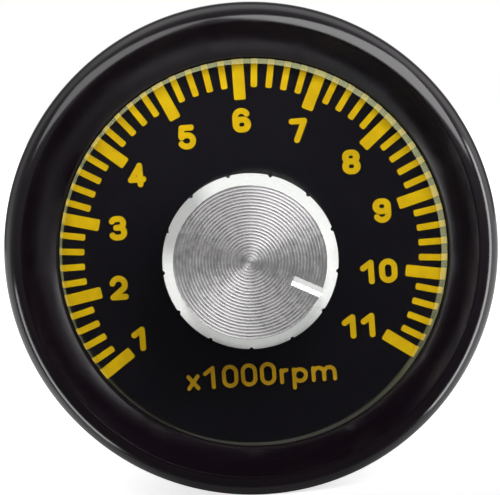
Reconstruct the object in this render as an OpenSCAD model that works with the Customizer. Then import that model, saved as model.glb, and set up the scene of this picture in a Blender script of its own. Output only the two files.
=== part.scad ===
// Panel instrument in the 52 mm gauge size: a black dished bezel, a yellow-on-black
// engine speed dial from 1 to 11 and a spun aluminium setting knob in its middle.
// Built along +Z, which points out of the dial, and turned at the end so that the
// dial faces -Y with +Z up. z = 0 is the face of the panel that the bezel seats on.

/* [Can] */
// Outer radius of the can, which fits a 52 mm panel hole
can_r = 26; // [23:0.1:30]
// Sheet thickness of the can
can_wall = 0.8; // [0.6:0.1:1]
// Depth of the can behind the panel
can_depth = 36; // [35:1:50]
// Width of the flange trapped in the bezel
flange_w = 2.4; // [2:0.1:2.8]

/* [Bezel] */
// How far the bezel laps over the panel outside the can
bezel_lap = 4; // [3.4:0.1:6]
// Height of the rim in front of the panel
bezel_depth = 8.6; // [7.2:0.1:12]
// Rounding radius of the rim, from its crest to its outside
rim_round = 2.5; // [1.2:0.1:2.8]
// Width of the bezel from its outside in to the opening
bezel_w = 6.3; // [5.6:0.1:7.4]
// Thickness of the bezel at the edge of the opening
lip_t = 0.6; // [0.4:0.1:0.9]
// Hollow of the inner slope, as a share of its rise
slope_hollow = 0.07; // [0:0.01:0.12]
// Thickness of the edge rolled over the flange of the can
roll_t = 0.8; // [0.5:0.1:1.2]

/* [Dial] */
// Thickness of the dial plate
dial_t = 0.8; // [0.5:0.1:1.2]
// Drop of the scale and the shaft below the middle of the bezel
axis_drop = 0.8; // [0:0.1:0.9]
// Thickness of the printed marks
mark_t = 0.12; // [0.08:0.01:0.2]
// First number of the scale
scale_first = 1; // [1:1:3]
// Last number of the scale
scale_last = 11; // [7:1:11]
// Number at the top of the dial
scale_top = 6; // [5:1:7]
// Turn of the knob from one number to the next, in degrees
step_angle = 25; // [20:1:26]
// Marks from one number to the next
marks_per_step = 5; // [2:1:10]
// How far the marks run on under the edge of the bezel
mark_cover = 1.2; // [1:0.05:1.6]
// Length of a long mark
long_mark_l = 5.9; // [5:0.1:6.4]
// Width of a long mark
long_mark_w = 1.44; // [1:0.02:1.8]
// Length of a short mark
short_mark_l = 4.4; // [3:0.1:5]
// Width of a short mark
short_mark_w = 0.79; // [0.5:0.01:1]

/* [Lettering] */
// Distance of the middle of a numeral in from its mark
numeral_inset = 2.3; // [2:0.05:3]
// Height of the numerals
numeral_h = 3; // [2.4:0.1:3.2]
// Width of the numerals
numeral_w = 2.25; // [1.6:0.05:2.4]
// Stroke of the numerals
numeral_stroke = 0.72; // [0.4:0.02:0.8]
// Height of the figures in the unit legend
legend_h = 2.84; // [2.2:0.02:3]
// Stroke of the unit legend
legend_stroke = 0.48; // [0.3:0.02:0.56]
// Distance of the legend's foot in from the short marks
legend_inset = 4.3; // [3:0.1:4.8]

/* [Lens] */
// Thickness of the lens flange
lens_flange_t = 1; // [0.8:0.1:1.4]
// Height of the lens above the edge of the opening
lens_proud = 0.6; // [0.4:0.1:0.8]
// Bevel round the lens
lens_bevel = 0.4; // [0.2:0.05:0.5]
// Air between the dial and the lens
lens_gap = 0.3; // [0.25:0.05:0.6]
// Thickness of the rubber seal
seal_t = 0.4; // [0.3:0.05:0.6]

/* [Knob] */
// Outer radius of the knob
knob_r = 10.4; // [10:0.1:12]
// Height of the knob
knob_h = 10.6; // [8.4:0.1:12]
// Width of the polished chamfer
knob_chamfer_w = 1.35; // [0.8:0.05:1.8]
// Height of the polished chamfer
knob_chamfer_h = 1.6; // [0.8:0.1:2]
// Distance from one spun groove to the next
groove_pitch = 0.375; // [0.3:0.005:0.6]
// Depth of the spun grooves
groove_depth = 0.07; // [0.03:0.01:0.12]
// Number of grip grooves down the side
grip_count = 13; // [9:1:16]
// Radius of a grip groove
grip_groove_r = 0.25; // [0.15:0.05:0.4]
// Width of the index groove
index_w = 1.25; // [0.6:0.05:1.6]
// Depth of the index groove
index_depth = 0.3; // [0.1:0.05:0.6]
// Radius where the index groove starts
index_start_r = 5.4; // [4.4:0.1:7]
// Number that the knob points at when at rest
knob_reading = 10.7; // [9:0.1:11]
// Gap between the knob and the lens
knob_gap = 0.7; // [0.5:0.1:1.2]

/* [Shaft and control] */
// Radius of the shaft
shaft_r = 3; // [2.5:0.1:3.2]
// Radius of the bushing's outside
bushing_r = 3.5; // [3.4:0.05:4]
// Outer radius of the control's cup
cup_r = 8.2; // [8:0.1:8.5]
// Depth of the control's cup
cup_depth = 7.5; // [7.2:0.1:9]
// Running clearance round the shaft
shaft_clear = 0.05; // [0.02:0.01:0.08]
// Turn beyond either end of the scale, in degrees
overtravel = 15; // [5:1:20]

/* [Back] */
// Thickness of the circuit boards
board_t = 1.6; // [1:0.1:2]
// Length of the pillars between the main board and the end of the can
rear_pillar_l = 8.5; // [7.5:0.5:12]
// Distance of the pillars in from the wall of the can
pillar_inset = 5.3; // [5:0.1:5.6]
// Angle of the pillars above the middle
pillar_angle = 51; // [50:1:53]
// Thickness of the rear cover
cover_t = 2.5; // [2:0.1:3]
// Radius of the clamp studs
stud_r = 2; // [1.8:0.1:2]
// Free length of a clamp stud past its nut
stud_free_l = 14; // [10:1:30]
// Height of the connector shroud behind the cover
socket_proud = 5.5; // [5:0.5:10]
// Travel of the selector either side of its middle
slider_travel = 2.5; // [1.5:0.1:2.6]

/* [Hidden] */
$fn = 96;
fine_fn = 48;

// Clearances used throughout
fit_gap = 0.02;
loose_gap = 0.1;
print_gap = 0.15;
eps = 0.5;

// Stack of the front, from the panel outwards
flange_back_z = roll_t;
dial_back_z = flange_back_z + can_wall;
dial_face_z = dial_back_z + dial_t;
lens_back_z = dial_face_z + lens_gap;
lens_flange_z = lens_back_z + lens_flange_t;
web_back_z = lens_flange_z + seal_t;
lip_front_z = web_back_z + lip_t;
lens_front_z = lip_front_z + lens_proud;
knob_back_z = lens_front_z + knob_gap;
knob_face_z = knob_back_z + knob_h;

// Bezel outline
flange_r = can_r + flange_w;
bezel_r = can_r + bezel_lap;
opening_r = bezel_r - bezel_w;
bezel_wall = bezel_r - flange_r - 4 * loose_gap;
pocket_r = bezel_r - bezel_wall;
rim_r = bezel_r - rim_round;
rim_z = bezel_depth - rim_round;
slope_steps = 16;
roll_inner_r = can_r + flange_w / 2;

// Can
can_inner_r = can_r - can_wall;
can_bend_r = 1.2;
can_end_z = -can_depth;
can_floor_z = can_end_z + can_wall;

// Lens
lens_pad_r = opening_r - loose_gap;

// Scale: marks, numerals and legend follow the opening inwards
mark_end_r = opening_r + mark_cover;
long_mark_r = mark_end_r - long_mark_l;
short_mark_r = mark_end_r - short_mark_l;
numeral_r = long_mark_r - numeral_inset;
numeral_gap = 0.1;
// Small shifts of the numerals 1 to 11 from their circle, to the right and up
numeral_shifts = [
  [-0.7, 0.2], [-0.1, 0], [0, 0.1], [-0.5, 0], [0.2, -0.2], [0, -0.2],
  [-0.2, -0.4], [0.2, -0.3], [0.2, -0.1], [0.1, -0.5], [-0.2, -0.7]
];
legend_foot = short_mark_r - legend_inset;

// Control behind the dial
plate_t = 1;
plate_back_z = dial_back_z - plate_t;
cup_wall = 0.6;
cup_back_z = dial_back_z - cup_depth - plate_t;
cup_inner_r = cup_r - cup_wall;
cup_lip_t = 0.3;
wafer_t = 1.2;
wafer_back_z = cup_back_z + cup_lip_t;
wafer_face_z = wafer_back_z + wafer_t;
bushing_end_z = lens_front_z + 1.1;
washer_t = 0.5;
nut_t = 2;
nut_across = 10;
lens_hole_r = nut_across / sqrt(3) + axis_drop + 1.5;
rotor_t = 2.2;
rotor_face_z = plate_back_z - 0.3;
rotor_back_z = rotor_face_z - rotor_t;
lug_angle = 20;
lug_r = cup_inner_r - 0.4;
stop_r = lug_r - 0.4;
rotor_r = stop_r - 0.2;
track_r = rotor_r - 1;
track_w = 1.4;
track_t = 0.12;
wiper_t = 0.2;
terminal_w = 0.8;
terminal_l = 1.2;
terminal_rivet = 0.3;

// Knob inside: recess over the bushing, bore over the shaft, grub screw opposite the index
recess_r = 8;
recess_z = bushing_end_z + 0.9;
bore_z = knob_face_z - 2;
shaft_top_z = bore_z - 0.4;
shaft_flat = 0.5;
clip_z = bushing_end_z + loose_gap;
clip_t = 0.45;
clip_groove_r = shaft_r - 0.4;
grub_r = 1.5;
grub_sink = 0.9;
grub_z = (recess_z + bore_z) / 2;
grip_phase = 0.62;
grub_turn = 180 + (0.5 + grip_phase - 1) * 360 / grip_count;

// Angles on the dial, measured from 3 o'clock
function value_angle(v) = 90 - step_angle * (v - scale_top);
index_angle = value_angle(knob_reading);
knob_turn_up = (scale_last - knob_reading) * step_angle + overtravel;
knob_turn_down = (knob_reading - scale_first) * step_angle + overtravel;
stop_half = (360 - knob_turn_up - knob_turn_down - lug_angle) / 2 - 0.5;
stop_angle = index_angle + (knob_turn_down - knob_turn_up) / 2 + 180;
terminal_angles = [-32, 0, 32];

// Light box and light board
box_outer_r = can_inner_r - 3 * loose_gap;
box_wall = 1;
chimney_r = cup_r + 0.6;
box_floor_t = 1;
box_back_z = cup_back_z - 1.6;
box_floor_z = box_back_z + box_floor_t;
light_board_back_z = box_back_z - board_t;
board_r = can_inner_r - 0.6;
lamp_count = 6;
lamp_ring_r = (chimney_r + box_outer_r) / 2;
lamp_start_angle = 30;
lamp_w = 3.2;
lamp_h = 2.8;
lamp_t = 1.2;
lamp_eye_r = 1.1;
lamp_eye_t = 0.6;
lamp_clear = 0.5;

// Pillars and main board
pillar_x = (can_inner_r - pillar_inset) * cos(pillar_angle);
pillar_y = (can_inner_r - pillar_inset) * sin(pillar_angle);
pillar_r = 2.5;
screw_r = 1.25;
screw_clear_r = screw_r + loose_gap;
screw_head_r = 2.25;
screw_head_t = 1.5;
thread_depth = 3.4;
main_board_back_z = can_floor_z + rear_pillar_l;
main_board_z = main_board_back_z + board_t;
front_pillar_l = light_board_back_z - main_board_z;
link_count = 6;
link_inset = 5.6;
link_y = link_inset - board_r;
link_pin_w = 0.64;
link_strip_w = 2.5;
link_strip_t = 2.5;
chip_y = 6;
chip_w = 10.4;
chip_h = 7.4;
chip_t = 2;
chip_leg_l = 1.2;
chip_leg_w = 0.4;
chip_leg_pitch = 1.27;
resistor_y = -3;
resistor_w = 1.25;
resistor_h = 2;
resistor_t = 0.6;
resistor_pitch = 2.8;
crystal_y = chip_y + 8.5;
crystal_w = 6.6;
crystal_h = 4;
crystal_t = 3.2;
capacitor_r = 3.2;
capacitor_h = 7;
capacitor_crimp = 0.4;
capacitor_top = 0.6;
capacitor_x = can_inner_r - capacitor_r - 5;

// Rear cover and what comes through it
cover_back_z = can_end_z - cover_t;
cover_half_w = pillar_x + screw_head_r + 0.65;
cover_inset = 3;
cover_r = can_r - cover_inset;
socket_y = -8;
socket_w = 13;
socket_h = 9.6;
socket_wall = 1.2;
socket_depth = 9;
socket_back_z = cover_back_z - socket_proud;
pin_count = 4;
pin_pitch = 2.54;
pin_w = 0.9;
pin_l = 4;
pin_row_y = -1.9;
switch_y = 9;
switch_w = 13;
switch_h = 6.4;
slider_w = 2.6;
slider_base_w = 4.2;
slider_base_t = 1.4;
switch_back_z = can_floor_z + 0.4;
slider_floor_z = switch_back_z + 2.4;
slider_back_z = cover_back_z - 0.8;
slot_half_w = slider_w / 2 + slider_travel + 2 * loose_gap;
position_y = switch_y + 3.4;
position_h = 2;
position_w = 1.35;
position_stroke = 0.36;
position_t = 0.3;

// Clamp studs
stud_washer_r = 4;
stud_washer_t = 0.8;
stud_x = cover_half_w + stud_washer_r + 0.6;
stud_head_r = 3.6;
stud_head_t = 1.2;
stud_core_r = stud_r - 0.35;
stud_nut_t = 3.2;
stud_nut_across = 7;
stud_nut_end_z = can_end_z - stud_washer_t - stud_nut_t;
stud_end_z = stud_nut_end_z - stud_free_l;

// Turns the build direction to the row's frame: the dial faces -Y
module placed() {
  rotate([90, 0, 0]) children();
}

// Moves from the middle of the bezel to the shaft
module on_shaft() {
  translate([0, -axis_drop, 0]) children();
}

// A straight cylinder or tube between two heights
module tube(outer_r, inner_r, z_low, z_high) {
  translate([0, 0, z_low]) difference() {
    cylinder(r = outer_r, h = z_high - z_low);
    if (inner_r > 0)
      translate([0, 0, -eps]) cylinder(r = inner_r, h = z_high - z_low + 2 * eps);
  }
}

// A round hole through everything between two heights
module drill(r, z_low, z_high) {
  translate([0, 0, z_low]) cylinder(r = r, h = z_high - z_low, $fn = fine_fn);
}

// A block centred in X and Y between two heights
module block(w, h, z_low, z_high) {
  translate([-w / 2, -h / 2, z_low]) cube([w, h, z_high - z_low]);
}

// A square hole that clears a pin through everything between two heights
module pin_hole(w, z_low, z_high) {
  block(w + loose_gap, w + loose_gap, z_low - eps, z_high + eps);
}

// A hexagon nut between two heights, measured across its flats
module hex_nut(across, hole_r, z_low, z_high) {
  difference() {
    translate([0, 0, z_low]) cylinder(r = across / sqrt(3), h = z_high - z_low, $fn = 6);
    drill(hole_r, z_low - eps, z_high + eps);
  }
}

// A wedge of the plane from one angle to another, for spans under 360 degrees
module sector(r, from, to) {
  parts = ceil((to - from) / 60);
  far = r / cos((to - from) / parts / 2);
  polygon(concat([[0, 0]], [for (i = [0 : parts])
    far * [cos(from + (to - from) * i / parts), sin(from + (to - from) * i / parts)]]));
}

// The four corner places that the pillars and their screws share
module at_pillars() {
  for (x = [-pillar_x, pillar_x], y = [-pillar_y, pillar_y]) translate([x, y, 0]) children();
}

module at_studs() {
  for (x = [-stud_x, stud_x]) translate([x, 0, 0]) children();
}

module at_lamps() {
  for (i = [0 : lamp_count - 1])
    rotate(lamp_start_angle + i * 360 / lamp_count) translate([lamp_ring_r, 0, 0]) children();
}

// Strokes of the lettering, all with round ends

module dot_at(p, w) {
  translate(p) circle(d = w, $fn = fine_fn);
}

module line(a, b, w) {
  length = norm(b - a);
  dot_at(a, w);
  dot_at(b, w);
  translate(a) rotate(atan2(b[1] - a[1], b[0] - a[0])) translate([0, -w / 2]) square([length, w]);
}

module ring(c, r, w) {
  translate(c) difference() {
    circle(r = r + w / 2, $fn = fine_fn);
    circle(r = r - w / 2, $fn = fine_fn);
  }
}

module arc(c, r, from, to, w) {
  intersection() {
    ring(c, r, w);
    translate(c) sector(r + w, from, to);
  }
  dot_at(c + r * [cos(from), sin(from)], w);
  dot_at(c + r * [cos(to), sin(to)], w);
}

// A round drawn out sideways by a slide to either side
module pill(c, r, slide) {
  for (x = [-slide, slide]) translate(c + [x, 0]) circle(r = r, $fn = fine_fn);
  if (slide > 0) translate(c) square([2 * slide, 2 * r], center = true);
}

// A closed bowl between stroke centres, its sides heavier than its top and bottom
module bowl(c, r, slide, w) {
  difference() {
    pill(c, r + w / 2, slide);
    if (r > w / 2) pill(c, r - w / 2, slide / 2);
  }
}

// A bowl that is open on its left between two angles, 90 to 180 and -180 to -90
module open_bowl(c, r, slide, from, to, w) {
  arc(c + [slide, 0], r, -90, 90, w);
  if (from < -90) arc(c - [slide, 0], r, from, -90, w);
  if (to > 90) arc(c - [slide, 0], r, 90, to, w);
  if (slide > 0) for (y = [-r, r]) line(c + [-slide, y], c + [slide, y], w);
}

// One character between stroke centres, w wide and h high, with its middle at the origin
module glyph(c, w, h, s) {
  a = w / 2;
  b = h / 2;
  low_r = 0.265 * h;
  high_r = 0.235 * h;
  low_slide = max(a - low_r, 0);
  high_slide = max(0.94 * a - high_r, 0);
  if (c == "0") {
    arc([0, b - a], a, 0, 180, s);
    arc([0, a - b], a, 180, 360, s);
    line([-a, a - b], [-a, b - a], s);
    line([a, a - b], [a, b - a], s);
  }
  if (c == "1") {
    line([a / 3, -b], [a / 3, b], s);
    line([a / 3, b], [-0.95 * a, b - 0.28 * h], s);
  }
  if (c == "2") {
    arc([0, b - a], a, -35, 165, s);
    line([a * cos(-35), b - a + a * sin(-35)], [-a, -b], s);
    line([-a, -b], [a, -b], s);
  }
  if (c == "3") {
    open_bowl([0, b - high_r], high_r, high_slide, -90, 150, s);
    open_bowl([0, low_r - b], low_r, low_slide, -150, 90, s);
  }
  if (c == "4") {
    line([0.5 * a, b], [-a, -0.24 * h], 0.9 * s);
    line([-a, -0.24 * h], [a, -0.24 * h], s);
    line([0.5 * a, b], [0.5 * a, -b], s);
  }
  if (c == "5") {
    line([-0.7 * a, b], [0.8 * a, b], s);
    line([-0.7 * a, b], [-0.85 * a, 0.06 * h], s);
    open_bowl([0, 0.3 * h - b], 0.3 * h, max(a - 0.3 * h, 0), -150, 140, s);
  }
  if (c == "6" || c == "9")
    rotate(c == "9" ? 180 : 0) {
      bowl([0, low_r - b], low_r, low_slide, s);
      arc([0, b - a], a, 30, 180, s);
      line([-a, low_r - b], [-a, b - a], s);
    }
  if (c == "7") {
    line([-a, b], [a, b], s);
    line([a, b], [-0.35 * a, -b], s);
  }
  if (c == "8") {
    bowl([0, b - high_r], high_r, high_slide, s);
    bowl([0, low_r - b], low_r, low_slide, s);
  }
}

// A whole number, its figures side by side
module number(v, w, h, s, pitch) {
  digits = str(v);
  for (i = [0 : len(digits) - 1])
    translate([(i - (len(digits) - 1) / 2) * pitch, 0]) glyph(digits[i], w, h, s);
}

// Bezel: rounded rim, hollow inner slope and the edge rolled behind the flange
module bezel() {
  run = rim_r - opening_r;
  rise = bezel_depth - lip_front_z;
  slope = [for (i = [0 : slope_steps])
    let (s = i / slope_steps)
      [rim_r - s * run, bezel_depth - rise * (s + 4 * slope_hollow * s * (1 - s))]];
  color([0.09, 0.08, 0.1]) placed() rotate_extrude() difference() {
    union() {
      intersection() {
        translate([rim_r, rim_z]) circle(r = rim_round, $fn = fine_fn);
        translate([rim_r, 0]) square([rim_round + eps, bezel_depth + eps]);
      }
      polygon(concat(
        [[roll_inner_r, 0], [bezel_r, 0], [bezel_r, rim_z], [rim_r, rim_z]], slope,
        [[opening_r, web_back_z - eps], [roll_inner_r, web_back_z - eps]]
      ));
    }
    translate([opening_r - eps, flange_back_z])
      square([pocket_r - opening_r + eps, web_back_z - flange_back_z]);
  }
}

// Clear lens: flange under the bezel, bevelled pad standing in the opening
module lens() {
  color([0.85, 0.92, 0.88, 0.35]) placed() rotate_extrude() polygon([
    [lens_hole_r, lens_back_z], [flange_r, lens_back_z], [flange_r, lens_flange_z],
    [lens_pad_r, lens_flange_z], [lens_pad_r, lens_front_z - lens_bevel],
    [lens_pad_r - lens_bevel, lens_front_z], [lens_hole_r, lens_front_z]
  ]);
}

module lens_seal() {
  color([0.07, 0.07, 0.07]) placed() tube(flange_r, lens_pad_r + 4 * loose_gap, lens_flange_z, web_back_z);
}

module dial_spacer() {
  color([0.15, 0.15, 0.15]) placed()
    tube(flange_r, mark_end_r + axis_drop + 2 * loose_gap, dial_face_z, lens_back_z);
}

module dial_plate() {
  color([0.08, 0.08, 0.1]) placed() difference() {
    tube(flange_r, 0, dial_back_z, dial_face_z);
    on_shaft() drill(bushing_r + loose_gap, dial_back_z - eps, dial_face_z + eps);
  }
}

// One mark along +X, with rounded corners at its inner end
module mark(start, w) {
  corner = 0.28 * short_mark_w;
  l = mark_end_r - start;
  linear_extrude(mark_t) {
    translate([start + corner, -w / 2]) square([l - corner, w]);
    translate([start, corner - w / 2]) square([l, w - 2 * corner]);
    for (y = [corner - w / 2, w / 2 - corner]) dot_at([start + corner, y], 2 * corner);
  }
}

module scale_marks() {
  steps = (scale_last - scale_first) * marks_per_step;
  color([0.87, 0.75, 0.05]) placed() on_shaft() translate([0, 0, dial_face_z])
    for (i = [0 : steps])
      rotate(value_angle(scale_first + i / marks_per_step))
        if (i % marks_per_step == 0) mark(long_mark_r, long_mark_w);
        else mark(short_mark_r, short_mark_w);
}

// Numerals stand upright inside their marks, those with two figures drawn in a little
module scale_numerals() {
  w = numeral_w - numeral_stroke;
  h = numeral_h - numeral_stroke;
  pitch = numeral_w + numeral_gap;
  color([0.87, 0.75, 0.05]) placed() on_shaft() translate([0, 0, dial_face_z]) linear_extrude(mark_t)
    for (v = [scale_first : scale_last]) {
      r = v < 10 ? numeral_r : numeral_r - pitch / 2 * abs(cos(value_angle(v)));
      translate(r * [cos(value_angle(v)), sin(value_angle(v))] + numeral_shifts[v - 1])
        number(v, w, h, numeral_stroke, pitch);
    }
}

// Unit legend: times a thousand turns a minute
module unit_legend() {
  s = legend_stroke;
  h = legend_h - s;
  w = 0.7 * legend_h - s;
  x_h = 0.68 * legend_h - s;
  foot = s / 2 - legend_foot;
  pitch = 0.824 * legend_h;
  first_x = -2.96 * legend_h;
  color([0.75, 0.63, 0.08]) placed() on_shaft() translate([0, 0, dial_face_z]) linear_extrude(mark_t)
    translate([first_x, foot]) {
      translate([0.04 * legend_h, 0]) {
        half = 0.2 * legend_h;
        line([-half, 0], [half, x_h], s);
        line([-half, x_h], [half, 0], s);
      }
      translate([pitch, h / 2]) glyph("1", w, h, s);
      for (i = [2 : 4]) translate([i * pitch, h / 2]) glyph("0", w, h, s);
      // r
      translate([4.71 * pitch, 0]) {
        line([0, 0], [0, x_h], s);
        arc([0.2 * legend_h, x_h - 0.2 * legend_h], 0.2 * legend_h, 85, 180, s);
      }
      // p
      translate([5.67 * pitch, x_h / 2]) {
        ring([0, 0], x_h / 2, s);
        line([-x_h / 2, x_h / 2], [-x_h / 2, -x_h / 2 - 0.27 * legend_h], s);
      }
      // m
      bow = 0.23 * legend_h;
      translate([6.38 * pitch, 0]) {
        line([0, 0], [0, x_h], s);
        for (k = [0, 1]) {
          arc([bow + k * 2 * bow, x_h - bow], bow, 0, 180, s);
          line([2 * bow * (k + 1), 0], [2 * bow * (k + 1), x_h - bow], s);
        }
      }
    }
}

// Drawn can: flange trapped in the bezel, closed end with windows and holes
module can() {
  color([0.12, 0.12, 0.13]) placed() difference() {
    rotate_extrude() difference() {
      union() {
        translate([0, can_end_z]) square([can_r - can_bend_r, can_depth + dial_back_z]);
        translate([0, can_end_z + can_bend_r]) square([can_r, can_depth - can_bend_r + dial_back_z]);
        translate([can_r - can_bend_r, can_end_z + can_bend_r]) circle(r = can_bend_r, $fn = fine_fn);
        translate([0, flange_back_z]) square([flange_r, can_wall]);
      }
      translate([-eps, can_floor_z]) square([can_inner_r + eps, dial_back_z - can_floor_z + eps]);
      translate([-2 * can_r, can_end_z - eps]) square([2 * can_r, can_depth + bezel_depth]);
    }
    at_pillars() drill(screw_clear_r, can_end_z - eps, can_floor_z + eps);
    at_studs() drill(stud_core_r + loose_gap, can_end_z - eps, can_floor_z + eps);
    translate([0, socket_y, 0]) block(socket_w + 1, socket_h + 1, can_end_z - eps, can_floor_z + eps);
    translate([0, switch_y, 0]) block(switch_w + 1, switch_h + 1, can_end_z - eps, can_floor_z + eps);
  }
}

// Knob: spun face, polished chamfer, grip grooves, index groove, blind bore and grub screw hole
module knob() {
  face_r = knob_r - knob_chamfer_w;
  grooves = floor(face_r / groove_pitch);
  side_z = knob_face_z - knob_chamfer_h;
  color([0.82, 0.82, 0.82]) placed() on_shaft() rotate(index_angle) difference() {
    rotate_extrude() polygon(concat(
      [[0, knob_back_z], [knob_r, knob_back_z], [knob_r, side_z], [face_r, knob_face_z]],
      [for (i = [grooves : -1 : 1], k = [0, 1])
        [(i - 0.5 * k) * groove_pitch, knob_face_z - groove_depth * k]],
      [[0, knob_face_z]]
    ));
    tube(recess_r, 0, knob_back_z - eps, recess_z);
    drill(shaft_r + fit_gap, recess_z - eps, bore_z);
    for (i = [0 : grip_count - 1])
      rotate((i + grip_phase) * 360 / grip_count) translate([knob_r, 0, 0])
        drill(grip_groove_r, knob_back_z - eps, knob_face_z);
    translate([index_start_r, 0, knob_face_z]) rotate([90, 0, 90]) linear_extrude(knob_r)
      polygon([[0, -index_depth], [index_w, index_depth], [-index_w, index_depth]]);
    rotate(grub_turn) translate([0, 0, grub_z]) rotate([0, 90, 0]) drill(grub_r, 0, knob_r + eps);
  }
}

module grub_screw() {
  tip_r = shaft_r - shaft_flat + fit_gap;
  end_r = knob_r - grub_sink;
  key_depth = grub_r - loose_gap;
  color([0.2, 0.2, 0.21]) placed() on_shaft() rotate(index_angle + grub_turn) translate([0, 0, grub_z])
    rotate([0, 90, 0]) difference() {
      drill(grub_r - fit_gap, tip_r, end_r);
      translate([0, 0, end_r - key_depth]) cylinder(r = 0.6 * grub_r, h = key_depth + eps, $fn = 6);
    }
}

// Shaft with a flat for the grub screw and a groove for its clip
module control_shaft() {
  tail_z = rotor_back_z - 0.8;
  color([0.7, 0.7, 0.72]) placed() on_shaft() rotate(index_angle) difference() {
    tube(shaft_r, 0, tail_z, shaft_top_z);
    translate([0, 0, clip_z]) difference() {
      cylinder(r = shaft_r + eps, h = clip_t);
      translate([0, 0, -eps]) cylinder(r = clip_groove_r, h = clip_t + 2 * eps);
    }
    rotate(grub_turn) translate([shaft_r - shaft_flat, -shaft_r, clip_z + clip_t + 0.3])
      cube([2 * shaft_r, 2 * shaft_r, knob_h]);
  }
}

// Open ring that keeps the shaft in its bushing
module shaft_clip() {
  color([0.35, 0.35, 0.37]) placed() on_shaft() rotate(index_angle) difference() {
    tube(shaft_r + 1.2, clip_groove_r + fit_gap, clip_z + fit_gap, clip_z + clip_t - fit_gap);
    translate([-2 * shaft_r, -1.1, clip_z - eps]) cube([2 * shaft_r, 2.2, clip_t + 2 * eps]);
  }
}

// Mounting plate and threaded bushing in one casting
module control_bushing() {
  color([0.62, 0.62, 0.6]) placed() on_shaft() difference() {
    union() {
      tube(cup_r, 0, plate_back_z, dial_back_z);
      tube(bushing_r, 0, dial_back_z, bushing_end_z);
    }
    drill(shaft_r + shaft_clear, plate_back_z - eps, bushing_end_z + eps);
  }
}

module control_washer() {
  color([0.72, 0.72, 0.7]) placed() on_shaft()
    tube(nut_across / 2 + 0.6, bushing_r + fit_gap, dial_face_z, dial_face_z + washer_t);
}

module control_nut() {
  color([0.75, 0.72, 0.6]) placed() on_shaft()
    hex_nut(nut_across, bushing_r + fit_gap, dial_face_z + washer_t, dial_face_z + washer_t + nut_t);
}

// Pressed cup that carries the wafer, with the stop for the rotor's lug inside
module control_cup() {
  color([0.65, 0.65, 0.66]) placed() on_shaft() {
    tube(cup_r, cup_inner_r, cup_back_z, plate_back_z);
    tube(cup_inner_r + cup_wall / 2, cup_inner_r - 1, cup_back_z, wafer_back_z);
    translate([0, 0, rotor_back_z]) linear_extrude(plate_back_z - rotor_back_z) intersection() {
      difference() {
        circle(r = cup_inner_r + cup_wall / 2);
        circle(r = stop_r);
      }
      sector(cup_r, stop_angle - stop_half, stop_angle + stop_half);
    }
  }
}

module control_rotor() {
  color([0.15, 0.15, 0.16]) placed() on_shaft() rotate(index_angle) difference() {
    union() {
      tube(rotor_r, 0, rotor_back_z, rotor_face_z);
      translate([0, 0, rotor_back_z]) linear_extrude(rotor_t) intersection() {
        circle(r = lug_r);
        sector(lug_r, -lug_angle / 2, lug_angle / 2);
      }
    }
    drill(shaft_r + fit_gap, rotor_back_z - eps, rotor_face_z + eps);
  }
}

// Spring contact: a flat arm on the rotor and a contact pin down to the track
module control_wiper() {
  contact_r = 0.4;
  track_face_z = wafer_face_z + track_t;
  color([0.8, 0.62, 0.3]) placed() on_shaft() rotate(index_angle) {
    translate([shaft_r + 0.4, -0.9, rotor_back_z - wiper_t]) cube([track_r - shaft_r, 1.8, wiper_t]);
    translate([track_r, 0, 0]) drill(contact_r, track_face_z + 0.08, rotor_back_z - wiper_t / 2);
  }
}

module control_wafer() {
  color([0.5, 0.3, 0.15]) placed() on_shaft() difference() {
    tube(cup_inner_r - fit_gap, 0, wafer_back_z, wafer_face_z);
    at_terminals() pin_hole(terminal_w, wafer_back_z, wafer_face_z);
  }
}

// Resistive track round the wafer, open where the terminals are
module control_track() {
  gap = terminal_angles[2] + 12;
  color([0.05, 0.05, 0.05]) placed() on_shaft() translate([0, 0, wafer_face_z]) linear_extrude(track_t)
    intersection() {
      ring([0, 0], track_r, track_w);
      sector(track_r + track_w, stop_angle + gap, stop_angle + 360 - gap);
    }
}

module at_terminals() {
  for (a = terminal_angles)
    rotate(stop_angle + a) translate([track_r, 0, 0]) rotate(-stop_angle - a) children();
}

module control_terminals() {
  color([0.8, 0.78, 0.7]) placed() on_shaft() at_terminals()
    block(terminal_w, terminal_w, light_board_back_z - terminal_l, wafer_face_z + terminal_rivet);
}

// White light box: a ring-shaped trough behind the dial, with a window over each lamp
module light_box() {
  color([0.92, 0.92, 0.9]) placed() difference() {
    union() {
      tube(box_outer_r, box_outer_r - box_wall, box_back_z, dial_back_z);
      tube(box_outer_r, chimney_r, box_back_z, box_floor_z);
      on_shaft() tube(chimney_r + box_wall, chimney_r, box_back_z, dial_back_z);
    }
    on_shaft() drill(chimney_r, box_back_z - eps, box_floor_z + eps);
    at_lamps()
      block(lamp_w + 2 * lamp_clear, lamp_h + 2 * lamp_clear, box_back_z - eps, box_floor_z + eps);
    at_pillars() drill(screw_clear_r, box_back_z - eps, box_floor_z + eps);
  }
}

module lamps() {
  color([0.95, 0.9, 0.6]) placed() at_lamps() {
    block(lamp_w, lamp_h, box_back_z, box_back_z + lamp_t);
    tube(lamp_eye_r, 0, box_back_z + lamp_t - loose_gap, box_back_z + lamp_t + lamp_eye_t);
  }
}

module light_board() {
  color([0.1, 0.35, 0.18]) placed() difference() {
    tube(board_r, 0, light_board_back_z, box_back_z);
    at_pillars() drill(screw_clear_r, light_board_back_z - eps, box_back_z + eps);
    on_shaft() at_terminals() pin_hole(terminal_w, light_board_back_z, box_back_z);
    at_link_pins() pin_hole(link_pin_w, light_board_back_z, box_back_z);
  }
}

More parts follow.
